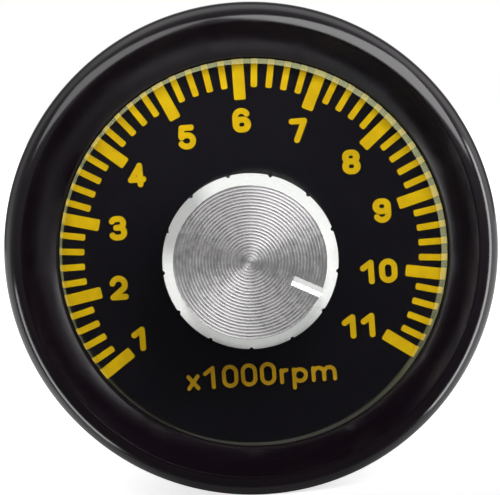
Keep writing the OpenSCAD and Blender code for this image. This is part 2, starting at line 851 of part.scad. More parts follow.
// Pan head screw pointing down -Z from the surface at z, with a cross recess
module pan_screw(z, shank_l) {
  difference() {
    union() {
      tube(screw_head_r, 0, z, z + screw_head_t * 0.6);
      translate([0, 0, z + screw_head_t * 0.6]) intersection() {
        cylinder(r = screw_head_r, h = screw_head_t * 0.4, $fn = fine_fn);
        translate([0, 0, screw_head_t * 0.4 - 1.6 * screw_head_r])
          sphere(r = 1.6 * screw_head_r, $fn = fine_fn);
      }
      drill(screw_r, z - shank_l, z + eps);
    }
    for (turn = [0, 90])
      rotate(turn) block(2.4, 0.5, z + screw_head_t * 0.45, z + 2 * screw_head_t);
  }
}

module board_screws() {
  color([0.75, 0.75, 0.76]) placed() at_pillars()
    pan_screw(box_floor_z, box_floor_t + board_t + thread_depth);
}

// Hexagon pillars between the boards, each with a threaded end through the main board
module front_pillars() {
  color([0.78, 0.66, 0.35]) placed() at_pillars() {
    difference() {
      translate([0, 0, main_board_z]) cylinder(r = pillar_r, h = front_pillar_l, $fn = 6);
      drill(screw_r + fit_gap, light_board_back_z - thread_depth - 0.6, light_board_back_z + eps);
    }
    drill(screw_r, main_board_back_z - thread_depth, main_board_z + eps);
  }
}

module rear_pillars() {
  color([0.78, 0.66, 0.35]) placed() at_pillars() difference() {
    translate([0, 0, can_floor_z]) cylinder(r = pillar_r, h = rear_pillar_l, $fn = 6);
    drill(screw_r + fit_gap, main_board_back_z - thread_depth - 0.3, main_board_back_z + eps);
    drill(screw_r + fit_gap, can_floor_z - eps, can_floor_z + thread_depth + 0.3);
  }
}

module main_board() {
  color([0.1, 0.35, 0.18]) placed() difference() {
    tube(board_r, 0, main_board_back_z, main_board_z);
    at_pillars() drill(screw_clear_r, main_board_back_z - eps, main_board_z + eps);
    at_link_pins() pin_hole(link_pin_w, main_board_back_z, main_board_z);
    at_socket_pins() pin_hole(pin_w, main_board_back_z, main_board_z);
  }
}

// Counting chip with its rows of legs, on the front of the main board
module processor() {
  legs = 7;
  chip_back_z = main_board_z + chip_leg_w;
  chip_face_z = chip_back_z + chip_t;
  color([0.08, 0.08, 0.08]) placed() translate([0, chip_y, 0]) difference() {
    block(chip_w, chip_h, chip_back_z, chip_face_z);
    translate([chip_leg_l - chip_w / 2, chip_h / 2 - chip_leg_l, 0])
      drill(chip_leg_w, chip_face_z - chip_leg_w / 2, chip_face_z + eps);
  }
  color([0.8, 0.8, 0.8]) placed() translate([0, chip_y, 0])
    for (i = [0 : legs - 1], side = [-1, 1])
      translate([(i - (legs - 1) / 2) * chip_leg_pitch, side * (chip_h + chip_leg_l) / 2, 0])
        block(chip_leg_w, chip_leg_l, main_board_z, main_board_z + chip_t / 2);
}

// Two upright electrolytic capacitors
module capacitors() {
  color([0.2, 0.22, 0.4]) placed() for (x = [-capacitor_x, capacitor_x]) translate([x, 0, 0]) {
    tube(capacitor_r, 0, main_board_z, main_board_z + capacitor_h);
    tube(
      capacitor_r - capacitor_crimp, 0,
      main_board_z + capacitor_h - capacitor_top, main_board_z + capacitor_h + capacitor_top
    );
  }
}

module resistors() {
  color([0.75, 0.65, 0.5]) placed() for (i = [0 : 5])
    translate([(i - 2.5) * resistor_pitch, resistor_y, 0])
      block(resistor_w, resistor_h, main_board_z, main_board_z + resistor_t);
}

module crystal() {
  color([0.85, 0.85, 0.85]) placed() translate([0, crystal_y, 0]) {
    for (x = [-crystal_w / 2, crystal_w / 2]) translate([x, 0, 0])
      tube(crystal_h / 2, 0, main_board_z, main_board_z + crystal_t);
    block(crystal_w, crystal_h, main_board_z, main_board_z + crystal_t);
  }
}

// Link between the boards: two plastic strips on a shared row of pins
module at_link_pins() {
  for (i = [0 : link_count - 1])
    translate([(i - (link_count - 1) / 2) * pin_pitch, link_y, 0]) children();
}

module link_strip(z_low) {
  difference() {
    translate([0, link_y, 0]) block(link_count * pin_pitch, link_strip_w, z_low, z_low + link_strip_t);
    at_link_pins() pin_hole(link_pin_w, z_low, z_low + link_strip_t);
  }
}

module link_headers() {
  color([0.1, 0.1, 0.1]) placed() {
    link_strip(light_board_back_z - link_strip_t);
    link_strip(main_board_z);
  }
}

module link_pins() {
  color([0.85, 0.75, 0.4]) placed() at_link_pins()
    block(link_pin_w, link_pin_w, main_board_back_z - 1, box_back_z - 0.2);
}

// Moulded rear cover with numbered switch slot and socket window
module rear_cover() {
  w = position_w - position_stroke;
  h = position_h - position_stroke;
  color([0.1, 0.1, 0.11]) placed() {
    difference() {
      translate([0, 0, cover_back_z]) linear_extrude(cover_t) intersection() {
        circle(r = cover_r);
        square([2 * cover_half_w, 2 * cover_r], center = true);
      }
      at_pillars() drill(screw_clear_r, cover_back_z - eps, can_end_z + eps);
      translate([0, socket_y, 0])
        block(socket_w + 2 * print_gap, socket_h + 2 * print_gap, cover_back_z - eps, can_end_z + eps);
      translate([0, switch_y, 0])
        block(2 * slot_half_w, slider_w + 4 * loose_gap, cover_back_z - eps, can_end_z + eps);
    }
    rotate([0, 180, 0]) translate([0, position_y, -cover_back_z - fit_gap])
      linear_extrude(position_t + fit_gap) for (k = [-1 : 1])
        translate([k * slider_travel, 0]) number(6 + 2 * k, w, h, position_stroke, position_w);
  }
}

module cover_screws() {
  color([0.75, 0.75, 0.76]) placed() at_pillars() mirror([0, 0, 1])
    pan_screw(-cover_back_z, cover_t + can_wall + thread_depth);
}

// Clamp studs: head inside the can, thread core through the nut, full thread behind it
module clamp_studs() {
  color([0.76, 0.76, 0.74]) placed() at_studs() {
    tube(stud_head_r, 0, can_floor_z, can_floor_z + stud_head_t);
    drill(stud_core_r, stud_nut_end_z - fit_gap, can_floor_z + eps);
    drill(stud_r, stud_end_z, stud_nut_end_z - fit_gap);
  }
}

module stud_washers() {
  color([0.7, 0.7, 0.68]) placed() at_studs()
    tube(stud_washer_r, stud_core_r + loose_gap, can_end_z - stud_washer_t, can_end_z);
}

module stud_nuts() {
  color([0.76, 0.76, 0.74]) placed() at_studs()
    hex_nut(stud_nut_across, stud_core_r + fit_gap, stud_nut_end_z, can_end_z - stud_washer_t);
}

module at_socket_pins() {
  for (i = [0 : pin_count - 1])
    translate([(i - (pin_count - 1) / 2) * pin_pitch, socket_y + pin_row_y, 0]) children();
}

// Shrouded connector: open to the rear, its pins in one row along the lower side
module socket_shell() {
  cavity_z = socket_back_z + socket_depth;
  color([0.13, 0.13, 0.14]) placed() difference() {
    translate([0, socket_y, 0]) block(socket_w, socket_h, socket_back_z, main_board_back_z);
    translate([0, socket_y, 0])
      block(socket_w - 2 * socket_wall, socket_h - 2 * socket_wall, socket_back_z - eps, cavity_z);
    translate([0, socket_y + socket_h / 2, 0]) block(4, 1.2, socket_back_z - eps, socket_back_z + 4);
    at_socket_pins() pin_hole(pin_w, cavity_z, main_board_back_z);
  }
}

module socket_pins() {
  color([0.85, 0.75, 0.4]) placed() at_socket_pins()
    block(pin_w, pin_w, socket_back_z + socket_depth - pin_l, main_board_z + 0.8);
}

// Selector: body on the main board, slider through the slot of the cover
module switch_body() {
  color([0.6, 0.6, 0.62]) placed() translate([0, switch_y, 0]) difference() {
    block(switch_w, switch_h, switch_back_z, main_board_back_z);
    block(
      slider_base_w + 2 * (slider_travel + 2 * loose_gap), slider_w + 4 * loose_gap,
      switch_back_z - eps, slider_floor_z
    );
  }
}

module switch_slider() {
  color([0.85, 0.85, 0.82]) placed() translate([0, switch_y, 0]) {
    block(slider_base_w, slider_w, slider_floor_z - loose_gap - slider_base_t, slider_floor_z - loose_gap);
    block(slider_w, slider_w, slider_back_z, slider_floor_z - loose_gap);
  }
}

bezel();
lens();
lens_seal();
dial_spacer();
dial_plate();
scale_marks();
scale_numerals();
unit_legend();
can();
knob();
grub_screw();
control_shaft();
shaft_clip();
control_bushing();
control_washer();
control_nut();
control_cup();
control_rotor();
control_wiper();
control_wafer();
control_track();
control_terminals();
light_box();
lamps();
light_board();
board_screws();
front_pillars();
main_board();
processor();
capacitors();
resistors();
crystal();
link_headers();
link_pins();
rear_pillars();
rear_cover();
cover_screws();
clamp_studs();
stud_washers();
stud_nuts();
socket_shell();
socket_pins();
switch_body();
switch_slider();
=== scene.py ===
"""Looks of a round panel instrument with a setting knob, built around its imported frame.

Meshes are drawn in the maker's frame: millimetres, X right, Y up, Z out of the dial, with
the origin in the middle of the bezel on the panel's face. ``settle`` turns a finished mesh
to the row frame, in metres, where the dial faces -Y and +Z is up.
"""

import logging
import math
from abc import ABC, abstractmethod
from collections.abc import Callable, Iterable, Sequence
from dataclasses import dataclass
from enum import Enum, IntEnum

import bmesh
import bpy
from mathutils import Matrix, Quaternion, Vector


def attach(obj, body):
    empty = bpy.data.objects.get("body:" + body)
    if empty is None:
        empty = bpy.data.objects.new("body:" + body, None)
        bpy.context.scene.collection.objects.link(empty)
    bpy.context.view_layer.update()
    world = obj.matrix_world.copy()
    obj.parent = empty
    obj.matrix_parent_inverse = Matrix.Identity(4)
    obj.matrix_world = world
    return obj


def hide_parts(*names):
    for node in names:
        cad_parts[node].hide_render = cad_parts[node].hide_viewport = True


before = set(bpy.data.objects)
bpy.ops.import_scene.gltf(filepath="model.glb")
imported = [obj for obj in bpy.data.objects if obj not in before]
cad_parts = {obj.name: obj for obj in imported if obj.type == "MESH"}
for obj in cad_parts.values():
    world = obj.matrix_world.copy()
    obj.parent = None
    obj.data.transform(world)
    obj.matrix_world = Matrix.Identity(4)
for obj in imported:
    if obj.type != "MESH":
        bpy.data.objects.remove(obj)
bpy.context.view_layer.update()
LOG = logging.getLogger("instrument")

MM = 0.001
TO_ROW = Matrix.Scale(MM, 4) @ Matrix.Rotation(math.radians(90), 4, "X")
SHARP = math.radians(24)
EASED_FROM = math.radians(40)
FULL_TURN = 2 * math.pi
FINE_STEPS = 256

# The values that most of a noise pattern lies between
NOISE_BAND = (0.3, 0.7)

# How far, in millimetres, a vertex may lie from where a test looks for it
NEAR = 0.05

Point = tuple[float, float]
Place = tuple[float, float, float]
Colour = tuple[float, float, float]
Socket = bpy.types.NodeSocket
BMesh = bmesh.types.BMesh
Piece = bpy.types.Object


class Body(Enum):
    """The moving bodies that a piece can ride on."""

    CASE = "case"
    KNOB = "knob_assembly"
    SELECTOR = "selector"


def srgb(red: int, green: int, blue: int) -> Colour:
    """Turn a colour as read off a screen into the linear values that shaders take.

    Args:
        red: red from 0 to 255.
        green: green from 0 to 255.
        blue: blue from 0 to 255.

    Returns:
        The three linear values.
    """
    shares = (red / 255, green / 255, blue / 255)
    return tuple(s / 12.92 if s <= 0.04045 else ((s + 0.055) / 1.055) ** 2.4 for s in shares)


# Shared sizes of the front stack, from the panel's face outwards


@dataclass(frozen=True)
class Stack:
    """Levels and radii that several sub-assemblies of the front share."""

    flange_back: float = 0.8
    lens_back: float = 2.7
    lens_flange: float = 3.7
    web_back: float = 4.1
    lip_front: float = 4.7
    lens_front: float = 5.3
    axis_drop: float = 0.8
    opening_shift: Point = (0.26, -0.52)
    opening_r: float = 23.7
    flange_r: float = 28.4


STACK = Stack()


# Shader graph


class Graph:
    """A node tree with short calls that add nodes and join them."""

    def __init__(self, tree: bpy.types.NodeTree) -> None:
        """Empty the tree and give it its coordinates.

        Args:
            tree: the node tree of a material or a world.
        """
        self.tree = tree
        tree.nodes.clear()
        self.place = self.add("ShaderNodeTexCoord").outputs["Object"]

    def add(
        self, kind: str, inputs: dict[str | int, object] | None = None, **settings: object
    ) -> bpy.types.Node:
        """Add a node.

        Args:
            kind: the node's type name.
            inputs: a value or a socket to join, for each input by name or number.
            **settings: the node's own properties.

        Returns:
            The new node.
        """
        node = self.tree.nodes.new(kind)
        for key, value in settings.items():
            setattr(node, key, value)
        for key, value in (inputs or {}).items():
            if isinstance(value, Socket):
                self.tree.links.new(value, node.inputs[key])
            else:
                whole = isinstance(value, tuple) and len(value) == 3
                wide = whole and node.inputs[key].type == "RGBA"
                node.inputs[key].default_value = (*value, 1.0) if wide else value
        return node

    def calc(self, operation: str, *values: float | Socket) -> Socket:
        """Add a Math node on one to three values and return its result."""
        return self.add("ShaderNodeMath", dict(enumerate(values)), operation=operation).outputs[0]

    def noise(self, size: float, detail: float = 3.0, stretch: Place = (1.0, 1.0, 1.0)) -> Socket:
        """Add a noise pattern on the object's own coordinates.

        Args:
            size: size of a blotch in millimetres.
            detail: octaves of finer noise.
            stretch: how much longer the blotches are along each axis.

        Returns:
            The noise's value, about 0.5 on average.
        """
        scale = tuple(1 / s for s in stretch)
        place = self.add("ShaderNodeMapping", {"Vector": self.place, "Scale": scale}).outputs[0]
        inputs = {"Vector": place, "Scale": 1 / (size * MM), "Detail": detail}
        return self.add("ShaderNodeTexNoise", inputs).outputs[0]

    def mapped(
        self, value: Socket, start: float, end: float, low: float = 0.0, high: float = 1.0
    ) -> Socket:
        """Map one range of a value to another and hold it there.

        Args:
            value: the value.
            start: value that gives the low result.
            end: value that gives the high result.
            low: result at the start.
            high: result at the end.

        Returns:
            The mapped value.
        """
        inputs = {"Value": value, "From Min": start, "From Max": end, "To Min": low, "To Max": high}
        return self.add("ShaderNodeMapRange", inputs).outputs[0]

    def spread(self, noise: Socket, low: float, high: float) -> Socket:
        """Stretch the middle of a noise to a range."""
        return self.mapped(noise, *NOISE_BAND, low, high)

    def vary(self, size: float, low: float, high: float, detail: float = 3.0) -> Socket:
        """Vary a value between two levels in blotches of a size in millimetres."""
        return self.spread(self.noise(size, detail), low, high)

    def parts(self, vector: Socket) -> Sequence[Socket]:
        """Split a vector in its X, Y and Z parts."""
        return self.add("ShaderNodeSeparateXYZ", {0: vector}).outputs

    def ramp(self, value: Socket, stops: Sequence[tuple[float, Colour]]) -> Socket:
        """Colour a value by stops.

        Args:
            value: the value, from 0 to 1.
            stops: a place and a colour for each stop, from low to high.

        Returns:
            The colour.
        """
        node = self.add("ShaderNodeValToRGB", {"Fac": value})
        elements = node.color_ramp.elements
        while len(elements) < len(stops):
            elements.new(0.5)
        for element, (place, colour) in zip(elements, stops):
            element.position = place
            element.color = (*colour, 1.0)
        return node.outputs["Color"]

    def blend(self, share: float | Socket, first: object, second: object) -> Socket:
        """Mix two colours by a share of the second.

        Args:
            share: share of the second colour.
            first: colour or socket.
            second: colour or socket.

        Returns:
            The mixed colour.
        """
        node = self.add("ShaderNodeMix", data_type="RGBA")
        for key, value in (("Factor_Float", share), ("A_Color", first), ("B_Color", second)):
            socket = next(i for i in node.inputs if i.identifier == key)
            if isinstance(value, Socket):
                self.tree.links.new(value, socket)
            else:
                socket.default_value = (*value, 1.0) if isinstance(value, tuple) else value
        return next(o for o in node.outputs if o.identifier == "Result_Color")

    def bump(self, height: Socket, depth: float) -> Socket:
        """Turn a pattern from 0 to 1 into a normal of a depth in millimetres."""
        inputs = {"Height": height, "Distance": depth * MM, "Strength": 1.0}
        return self.add("ShaderNodeBump", inputs).outputs[0]

    def grain(self, size: float, depth: float) -> Socket:
        """Raise a fine grain of a size and a depth in millimetres."""
        return self.bump(self.noise(size, 2.0), depth)

    def facing(self, way: Socket, toward: Place) -> Socket:
        """Measure how far a way of the world points along a line of the maker's frame.

        Args:
            way: the way.
            toward: the line.

        Returns:
            1 along the line, 0 across it, -1 against it.
        """
        axis = tuple((TO_ROW.to_3x3() @ Vector(toward)).normalized())
        node = self.add("ShaderNodeVectorMath", {0: way, 1: axis}, operation="DOT_PRODUCT")
        return node.outputs["Value"]

    def radius(self) -> tuple[Socket, Socket, Socket]:
        """Measure from the knob's axis.

        Returns:
            The radius in metres, and the X and Z parts of the way from the axis.
        """
        across, _, height = self.parts(self.place)
        up = self.calc("ADD", height, STACK.axis_drop * MM)
        square = self.calc("MULTIPLY_ADD", up, up, self.calc("MULTIPLY", across, across))
        return self.calc("SQRT", square), across, up

    def surface(self, **inputs: object) -> Socket:
        """Add a Principled shader, its inputs named with _ for each blank."""
        named = {key.replace("_", " "): value for key, value in inputs.items()}
        return self.add("ShaderNodeBsdfPrincipled", named).outputs[0]

    def merge(self, share: float | Socket, first: Socket, second: Socket) -> Socket:
        """Mix two shaders by a share of the second."""
        return self.add("ShaderNodeMixShader", {0: share, 1: first, 2: second}).outputs[0]


# Finishes


@dataclass(frozen=True)
class Finish(ABC):
    """A surface finish that makes its material once and gives it to each piece."""

    name: str

    @abstractmethod
    def shade(self, graph: Graph) -> Socket:
        """Build the finish in a graph and return its shader."""

    def material(self) -> bpy.types.Material:
        """Make the material, or find it if it was made before.

        Returns:
            The material.
        """
        made = bpy.data.materials.get(self.name)
        if made is None:
            made = bpy.data.materials.new(self.name)
            made.use_nodes = True
            graph = Graph(made.node_tree)
            graph.add("ShaderNodeOutputMaterial", {"Surface": self.shade(graph)})
        return made


@dataclass(frozen=True)
class Coated(Finish):
    """Paint, plastic, resin, plate or ink: a mottled colour on a fine grain."""

    colour: Colour
    mottled: Colour
    roughness: float
    metal: float = 0.0
    mottle_size: float = 4.0
    mottle_detail: float = 3.0
    rub_share: float = 0.35
    rub_detail: float = 5.0
    grain_size: float = 0.2
    grain_depth: float = 0.004
    wear: float = 0.05
    gloss: float = 0.5
    coat: float = 0.0

    def shade(self, graph: Graph) -> Socket:
        """Build the finish.

        Args:
            graph: the material's graph.

        Returns:
            The shader.
        """
        mottle = graph.vary(self.mottle_size, 0.0, 1.0, self.mottle_detail)
        rub_size, smooth = self.mottle_size * self.rub_share, self.roughness - self.wear
        return graph.surface(
            Base_Color=graph.blend(mottle, self.colour, self.mottled),
            Metallic=self.metal,
            Roughness=graph.vary(rub_size, smooth, self.roughness + self.wear, self.rub_detail),
            Specular_IOR_Level=self.gloss,
            Coat_Weight=self.coat,
            Normal=graph.grain(self.grain_size, self.grain_depth),
        )


@dataclass(frozen=True)
class Drawn(Finish):
    """Bare or plated metal with fine lines left by the tool."""

    colour: Colour
    shadow: Colour
    roughness: float
    stretch: Place
    line_size: float = 0.08
    line_depth: float = 0.004
    roughness_band: Point = (0.8, 1.3)

    def shade(self, graph: Graph) -> Socket:
        """Build the finish.

        Args:
            graph: the material's graph.

        Returns:
            The shader.
        """
        lines = graph.noise(self.line_size, 2.0, self.stretch)
        smooth, rough = (self.roughness * share for share in self.roughness_band)
        return graph.surface(
            Base_Color=graph.blend(graph.vary(3.0, 0.0, 1.0, 4.0), self.colour, self.shadow),
            Metallic=1.0,
            Roughness=graph.spread(lines, smooth, rough),
            Normal=graph.bump(lines, self.line_depth),
        )


@dataclass(frozen=True)
class Spun(Finish):
    """Turned aluminium whose fine rings run round the knob's axis."""

    colour: Colour
    tint: Colour
    roughness: float
    anisotropy: float
    ring_pitch: float
    ring_depth: float
    wobble: float = 5.0
    roughness_band: Point = (0.85, 1.2)

    def shade(self, graph: Graph) -> Socket:
        """Build the finish.

        Args:
            graph: the material's graph.

        Returns:
            The shader.
        """
        reach, across, up = graph.radius()
        way = graph.add("ShaderNodeCombineXYZ", {0: across, 1: 0.0, 2: up}).outputs[0]
        spaces = {"vector_type": "VECTOR", "convert_from": "OBJECT", "convert_to": "WORLD"}
        world = graph.add("ShaderNodeVectorTransform", {0: way}, **spaces).outputs[0]
        tangent = graph.add("ShaderNodeVectorMath", {0: world}, operation="NORMALIZE").outputs[0]
        turns = graph.calc("MULTIPLY", reach, FULL_TURN / (self.ring_pitch * MM))
        wobble = graph.calc("MULTIPLY", graph.noise(0.9, 4.0), self.wobble)
        rings = graph.calc("SINE", graph.calc("ADD", turns, wobble))
        height = graph.calc("MULTIPLY_ADD", rings, 0.5, 0.5)
        smooth, rough = (self.roughness * share for share in self.roughness_band)
        return graph.surface(
            Base_Color=graph.blend(graph.vary(0.5, 0.0, 1.0, 5.0), self.colour, self.tint),
            Metallic=1.0,
            Roughness=graph.vary(0.7, smooth, rough, 4.0),
            Anisotropic=self.anisotropy,
            Tangent=tangent,
            Normal=graph.bump(height, self.ring_depth),
        )


@dataclass(frozen=True)
class Printed(Coated):
    """Screen-printed ink: a solid colour with faint thin spots and a soft grain."""

    roughness: float = 0.8
    mottle_size: float = 1.6
    mottle_detail: float = 5.0
    rub_share: float = 0.25
    rub_detail: float = 3.0
    grain_size: float = 0.12
    grain_depth: float = 0.003
    wear: float = 0.06
    gloss: float = 0.12


@dataclass(frozen=True)
class DialBlack(Finish):
    """Black dial card, painted a little bluer and lighter towards the top and darker towards the
    bottom: painted light and shade.
    """

    # Painted shade at the bottom of the card and painted light at its top
    low: Colour
    high: Colour
    reach: float = 22.0
    cloud_size: float = 9.0
    cloud_swing: float = 0.35
    cloud_start: float = -0.17
    roughness_band: Point = (0.78, 0.88)
    gloss: float = 0.12

    def shade(self, graph: Graph) -> Socket:
        """Build the finish.

        Args:
            graph: the material's graph.

        Returns:
            The shader.
        """
        # Painted light: the colour runs from the shaded low colour at the bottom to the lit high
        # colour at the top
        share = graph.mapped(graph.parts(graph.place)[2], -self.reach * MM, self.reach * MM)
        blotches = graph.noise(self.cloud_size)
        cloud = graph.calc("MULTIPLY_ADD", blotches, self.cloud_swing, self.cloud_start)
        return graph.surface(
            Base_Color=graph.blend(graph.calc("ADD", share, cloud), self.low, self.high),
            Roughness=graph.vary(0.6, *self.roughness_band),
            Specular_IOR_Level=self.gloss,
            Normal=graph.grain(0.08, 0.003),
        )


@dataclass(frozen=True)
class Clear(Finish):
    """Clear acrylic that lets the lamps through to what lies under it."""

    tint: Colour
    shadow_tint: Colour = (0.97, 0.98, 0.97)
    ior: float = 1.49
    rubbed: float = 0.035

    def shade(self, graph: Graph) -> Socket:
        """Build the finish.

        Args:
            graph: the material's graph.

        Returns:
            The shader.
        """
        solid = graph.surface(
            Base_Color=self.tint,
            Roughness=graph.vary(6.0, 0.0, self.rubbed, 6.0),
            IOR=self.ior,
            Transmission_Weight=1.0,
        )
        open_way = graph.add("ShaderNodeBsdfTransparent", {"Color": self.shadow_tint}).outputs[0]
        shadow = graph.add("ShaderNodeLightPath").outputs["Is Shadow Ray"]
        return graph.merge(shadow, solid, open_way)


@dataclass(frozen=True)
class CutEdge(Finish):
    """The lens's cut edge: clear stock under a frosted skin, painted full at the top and thinning
    towards the bottom as painted light.
    """

    skin: Colour
    tint: Colour = (0.98, 0.99, 0.96)
    # Heights, in millimetres, between which the skin's painted light fades from thin at the bottom
    # to full at the top
    painted_dim_height: float = -20.0
    painted_lit_height: float = -2.0
    painted_dim_share: float = 0.15
    frost_band: Point = (0.92, 1.08)
    roughness_band: Point = (0.3, 0.4)

    def shade(self, graph: Graph) -> Socket:
        """Build the finish.

        Args:
            graph: the material's graph.

        Returns:
            The shader.
        """
        scuffs = graph.noise(0.5, 3.0)
        up = graph.parts(graph.place)[2]
        # Painted light: the skin is painted full at the top and thin towards the bottom; the scuffs
        # are the real frost
        low, high = self.painted_dim_height * MM, self.painted_lit_height * MM
        cover = graph.mapped(up, low, high, self.painted_dim_share, 1.0)
        frost_and_painted_light = graph.calc("MULTIPLY", cover, graph.spread(scuffs, *self.frost_band))
        skin = graph.surface(
            Base_Color=graph.blend(frost_and_painted_light, (0.0, 0.0, 0.0), self.skin),
            Roughness=graph.spread(scuffs, *self.roughness_band),
            Normal=graph.bump(scuffs, 0.001),
        )
        open_way = graph.add("ShaderNodeBsdfTransparent", {"Color": self.tint}).outputs[0]
        return graph.add("ShaderNodeAddShader", {0: open_way, 1: skin}).outputs[0]


@dataclass(frozen=True)
class Laminate(Finish):
    """Circuit board: green mask over tracks that run in both directions."""

    mask: Colour
    track: Colour
    shaded: float = 0.8
    track_w: float = 0.18
    pitch: Point = (4.6, 1.27)
    roughness_band: Point = (0.28, 0.4)

    def shade(self, graph: Graph) -> Socket:
        """Build the finish.

        Args:
            graph: the material's graph.

        Returns:
            The shader.
        """
        upright = {"Vector": graph.place, "Rotation": (math.radians(90), 0.0, 0.0)}
        layout = {
            "Vector": graph.add("ShaderNodeMapping", upright).outputs[0],
            "Scale": 1.0,
            "Mortar Size": self.track_w * MM,
            "Mortar Smooth": 0.2,
            "Brick Width": self.pitch[0] * MM,
            "Row Height": self.pitch[1] * MM,
        }
        tracks = graph.add("ShaderNodeTexBrick", layout).outputs["Fac"]
        shaded = tuple(self.shaded * c for c in self.mask)
        ground = graph.blend(graph.vary(2.0, 0.0, 1.0, 4.0), self.mask, shaded)
        return graph.surface(
            Base_Color=graph.blend(tracks, ground, self.track),
            Roughness=graph.vary(0.6, *self.roughness_band),
            Normal=graph.bump(tracks, 0.03),
        )


@dataclass(frozen=True)
class Paper(Finish):
    """White floor that glows where it is looked at; reflections see it grey, with no glow next to
    the part, as painted shade.
    """

    tones: tuple[Colour, Colour] = ((0.86, 0.86, 0.86), (0.9, 0.9, 0.9))
    # Painted shade: the grey that reflections see in place of the lit floor
    mirrored: Colour = (0.25, 0.25, 0.25)
    glow: float = 0.72
    painted_shade_band: Point = (10.0, 45.0)

    def shade(self, graph: Graph) -> Socket:
        """Build the finish.

        Args:
            graph: the material's graph.

        Returns:
            The shader.
        """
        path = graph.add("ShaderNodeLightPath").outputs
        direct = graph.calc("MAXIMUM", path["Is Camera Ray"], path["Is Transmission Ray"])
        seen = graph.calc("MAXIMUM", direct, path["Is Glossy Ray"])
        sheet = graph.blend(graph.noise(40.0), *self.tones)
        # Painted shade: mirrored rays see the floor grey
        tone = graph.blend(path["Is Glossy Ray"], sheet, self.mirrored)
        card = graph.add("ShaderNodeBsdfDiffuse", {"Color": tone}).outputs[0]
        # Painted shade in reflections: for mirrored rays the glow fades out next to the part
        aside = graph.calc("ABSOLUTE", graph.parts(graph.place)[0])
        share = graph.mapped(aside, *(edge * MM for edge in self.painted_shade_band))
        strength = graph.calc("MULTIPLY", graph.calc("MAXIMUM", direct, share), self.glow)
        inputs = {"Color": (1.0, 1.0, 1.0), "Strength": strength}
        glow = graph.add("ShaderNodeEmission", inputs).outputs[0]
        lit = graph.add("ShaderNodeAddShader", {0: card, 1: glow}).outputs[0]
        return graph.merge(seen, card, lit)


BEZEL_PAINT = Coated(
    "bezel_satin_black", srgb(15, 7, 15), srgb(19, 9, 18), 0.14,
    mottle_size=7.0, grain_size=0.12, grain_depth=0.001, wear=0.03, gloss=0.9,
)
CAN_PAINT = Coated(
    "can_black_paint", srgb(22, 22, 24), srgb(30, 30, 32), 0.42,
    mottle_size=6.0, grain_size=0.18, grain_depth=0.004, wear=0.08,
)
LENS_CLEAR = Clear("lens_clear_acrylic", (0.985, 0.995, 0.985))
LENS_EDGE = CutEdge("lens_cut_edge", srgb(158, 160, 116))
# The dial card's colours carry painted shade at the bottom and painted light at the top
DIAL_CARD_PAINTED_LIGHT = DialBlack("dial_black_card", srgb(6, 3, 11), srgb(14, 11, 20))
SCALE_INK = Printed("scale_yellow_ink", srgb(228, 188, 2), srgb(212, 172, 4))
LEGEND_INK = Printed("legend_yellow_ink", srgb(200, 156, 20), srgb(180, 138, 20))
KNOB_FACE = Spun(
    "knob_spun_face", srgb(244, 242, 243), srgb(236, 233, 235), 0.42, 0.66, 0.09, 0.001,
)
KNOB_POLISH = Spun(
    "knob_polished_chamfer", srgb(252, 254, 251), srgb(246, 249, 245), 0.16, 0.4, 0.05, 0.0003,
)
# Painted shade: the turned side is a darker copy of the knob's aluminium, standing in for the shade
# it sits in
KNOB_SIDE_SHADED = Spun(
    "knob_turned_side_painted_shade", srgb(190, 190, 191), srgb(170, 170, 171), 0.16, 0.0, 0.08, 0.0004,
)
KNOB_INDEX = Coated(
    "knob_milled_index", srgb(252, 253, 250), srgb(240, 241, 238), 0.4,
    mottle_size=0.5, grain_size=0.1, grain_depth=0.004,
)
BLACK_MOULDING = Coated(
    "black_moulding", srgb(24, 24, 26), srgb(31, 31, 33), 0.5,
    mottle_size=5.0, grain_size=0.25, grain_depth=0.012, wear=0.07,
)
WHITE_MOULDING = Coated(
    "white_moulding", srgb(232, 231, 226), srgb(222, 220, 212), 0.42, grain_depth=0.004,
)
BRIGHT_ZINC = Drawn(
    "bright_zinc_plate", srgb(208, 210, 212), srgb(182, 185, 190), 0.24, (1.0, 8.0, 1.0),
)
NUT_ZINC = Coated(
    "nut_zinc_plate", srgb(202, 204, 206), srgb(180, 184, 190), 0.26, metal=1.0,
    mottle_size=2.0, grain_size=0.3, grain_depth=0.006, wear=0.08,
)
BLACK_STEEL = Coated(
    "blackened_steel", srgb(58, 57, 58), srgb(44, 43, 45), 0.34, metal=1.0, grain_size=0.1,
)
PLAIN_ALUMINIUM = Drawn(
    "plain_aluminium", srgb(205, 206, 208), srgb(186, 187, 190), 0.3, (8.0, 1.0, 8.0),
)
ZINC_CASTING = Coated(
    "zinc_casting", srgb(168, 168, 166), srgb(148, 149, 149), 0.44, metal=1.0, grain_depth=0.01,
)
BRASS = Coated(
    "brass_plate", srgb(206, 172, 104), srgb(186, 150, 84), 0.28, metal=1.0, grain_size=0.15,
)
BRONZE = Coated("spring_bronze", srgb(196, 150, 96), srgb(172, 126, 78), 0.3, metal=1.0)
GOLD = Coated("gold_flash", srgb(222, 186, 106), srgb(206, 168, 88), 0.2, metal=1.0)
TIN = Coated("tinned_copper", srgb(198, 198, 196), srgb(176, 176, 172), 0.34, metal=1.0)
RUBBER = Coated(
    "black_rubber", srgb(20, 20, 20), srgb(28, 28, 28), 0.72, grain_size=0.15, grain_depth=0.01,
)
BLACK_CARD = Coated(
    "black_card", srgb(26, 26, 27), srgb(34, 34, 35), 0.8, grain_size=0.3, grain_depth=0.015,
)
BROWN_LAMINATE = Coated(
    "brown_laminate", srgb(126, 82, 42), srgb(104, 64, 32), 0.5, grain_size=0.3, grain_depth=0.01,
)
CARBON_INK = Coated("carbon_ink", srgb(16, 16, 17), srgb(26, 26, 27), 0.55, grain_size=0.08)
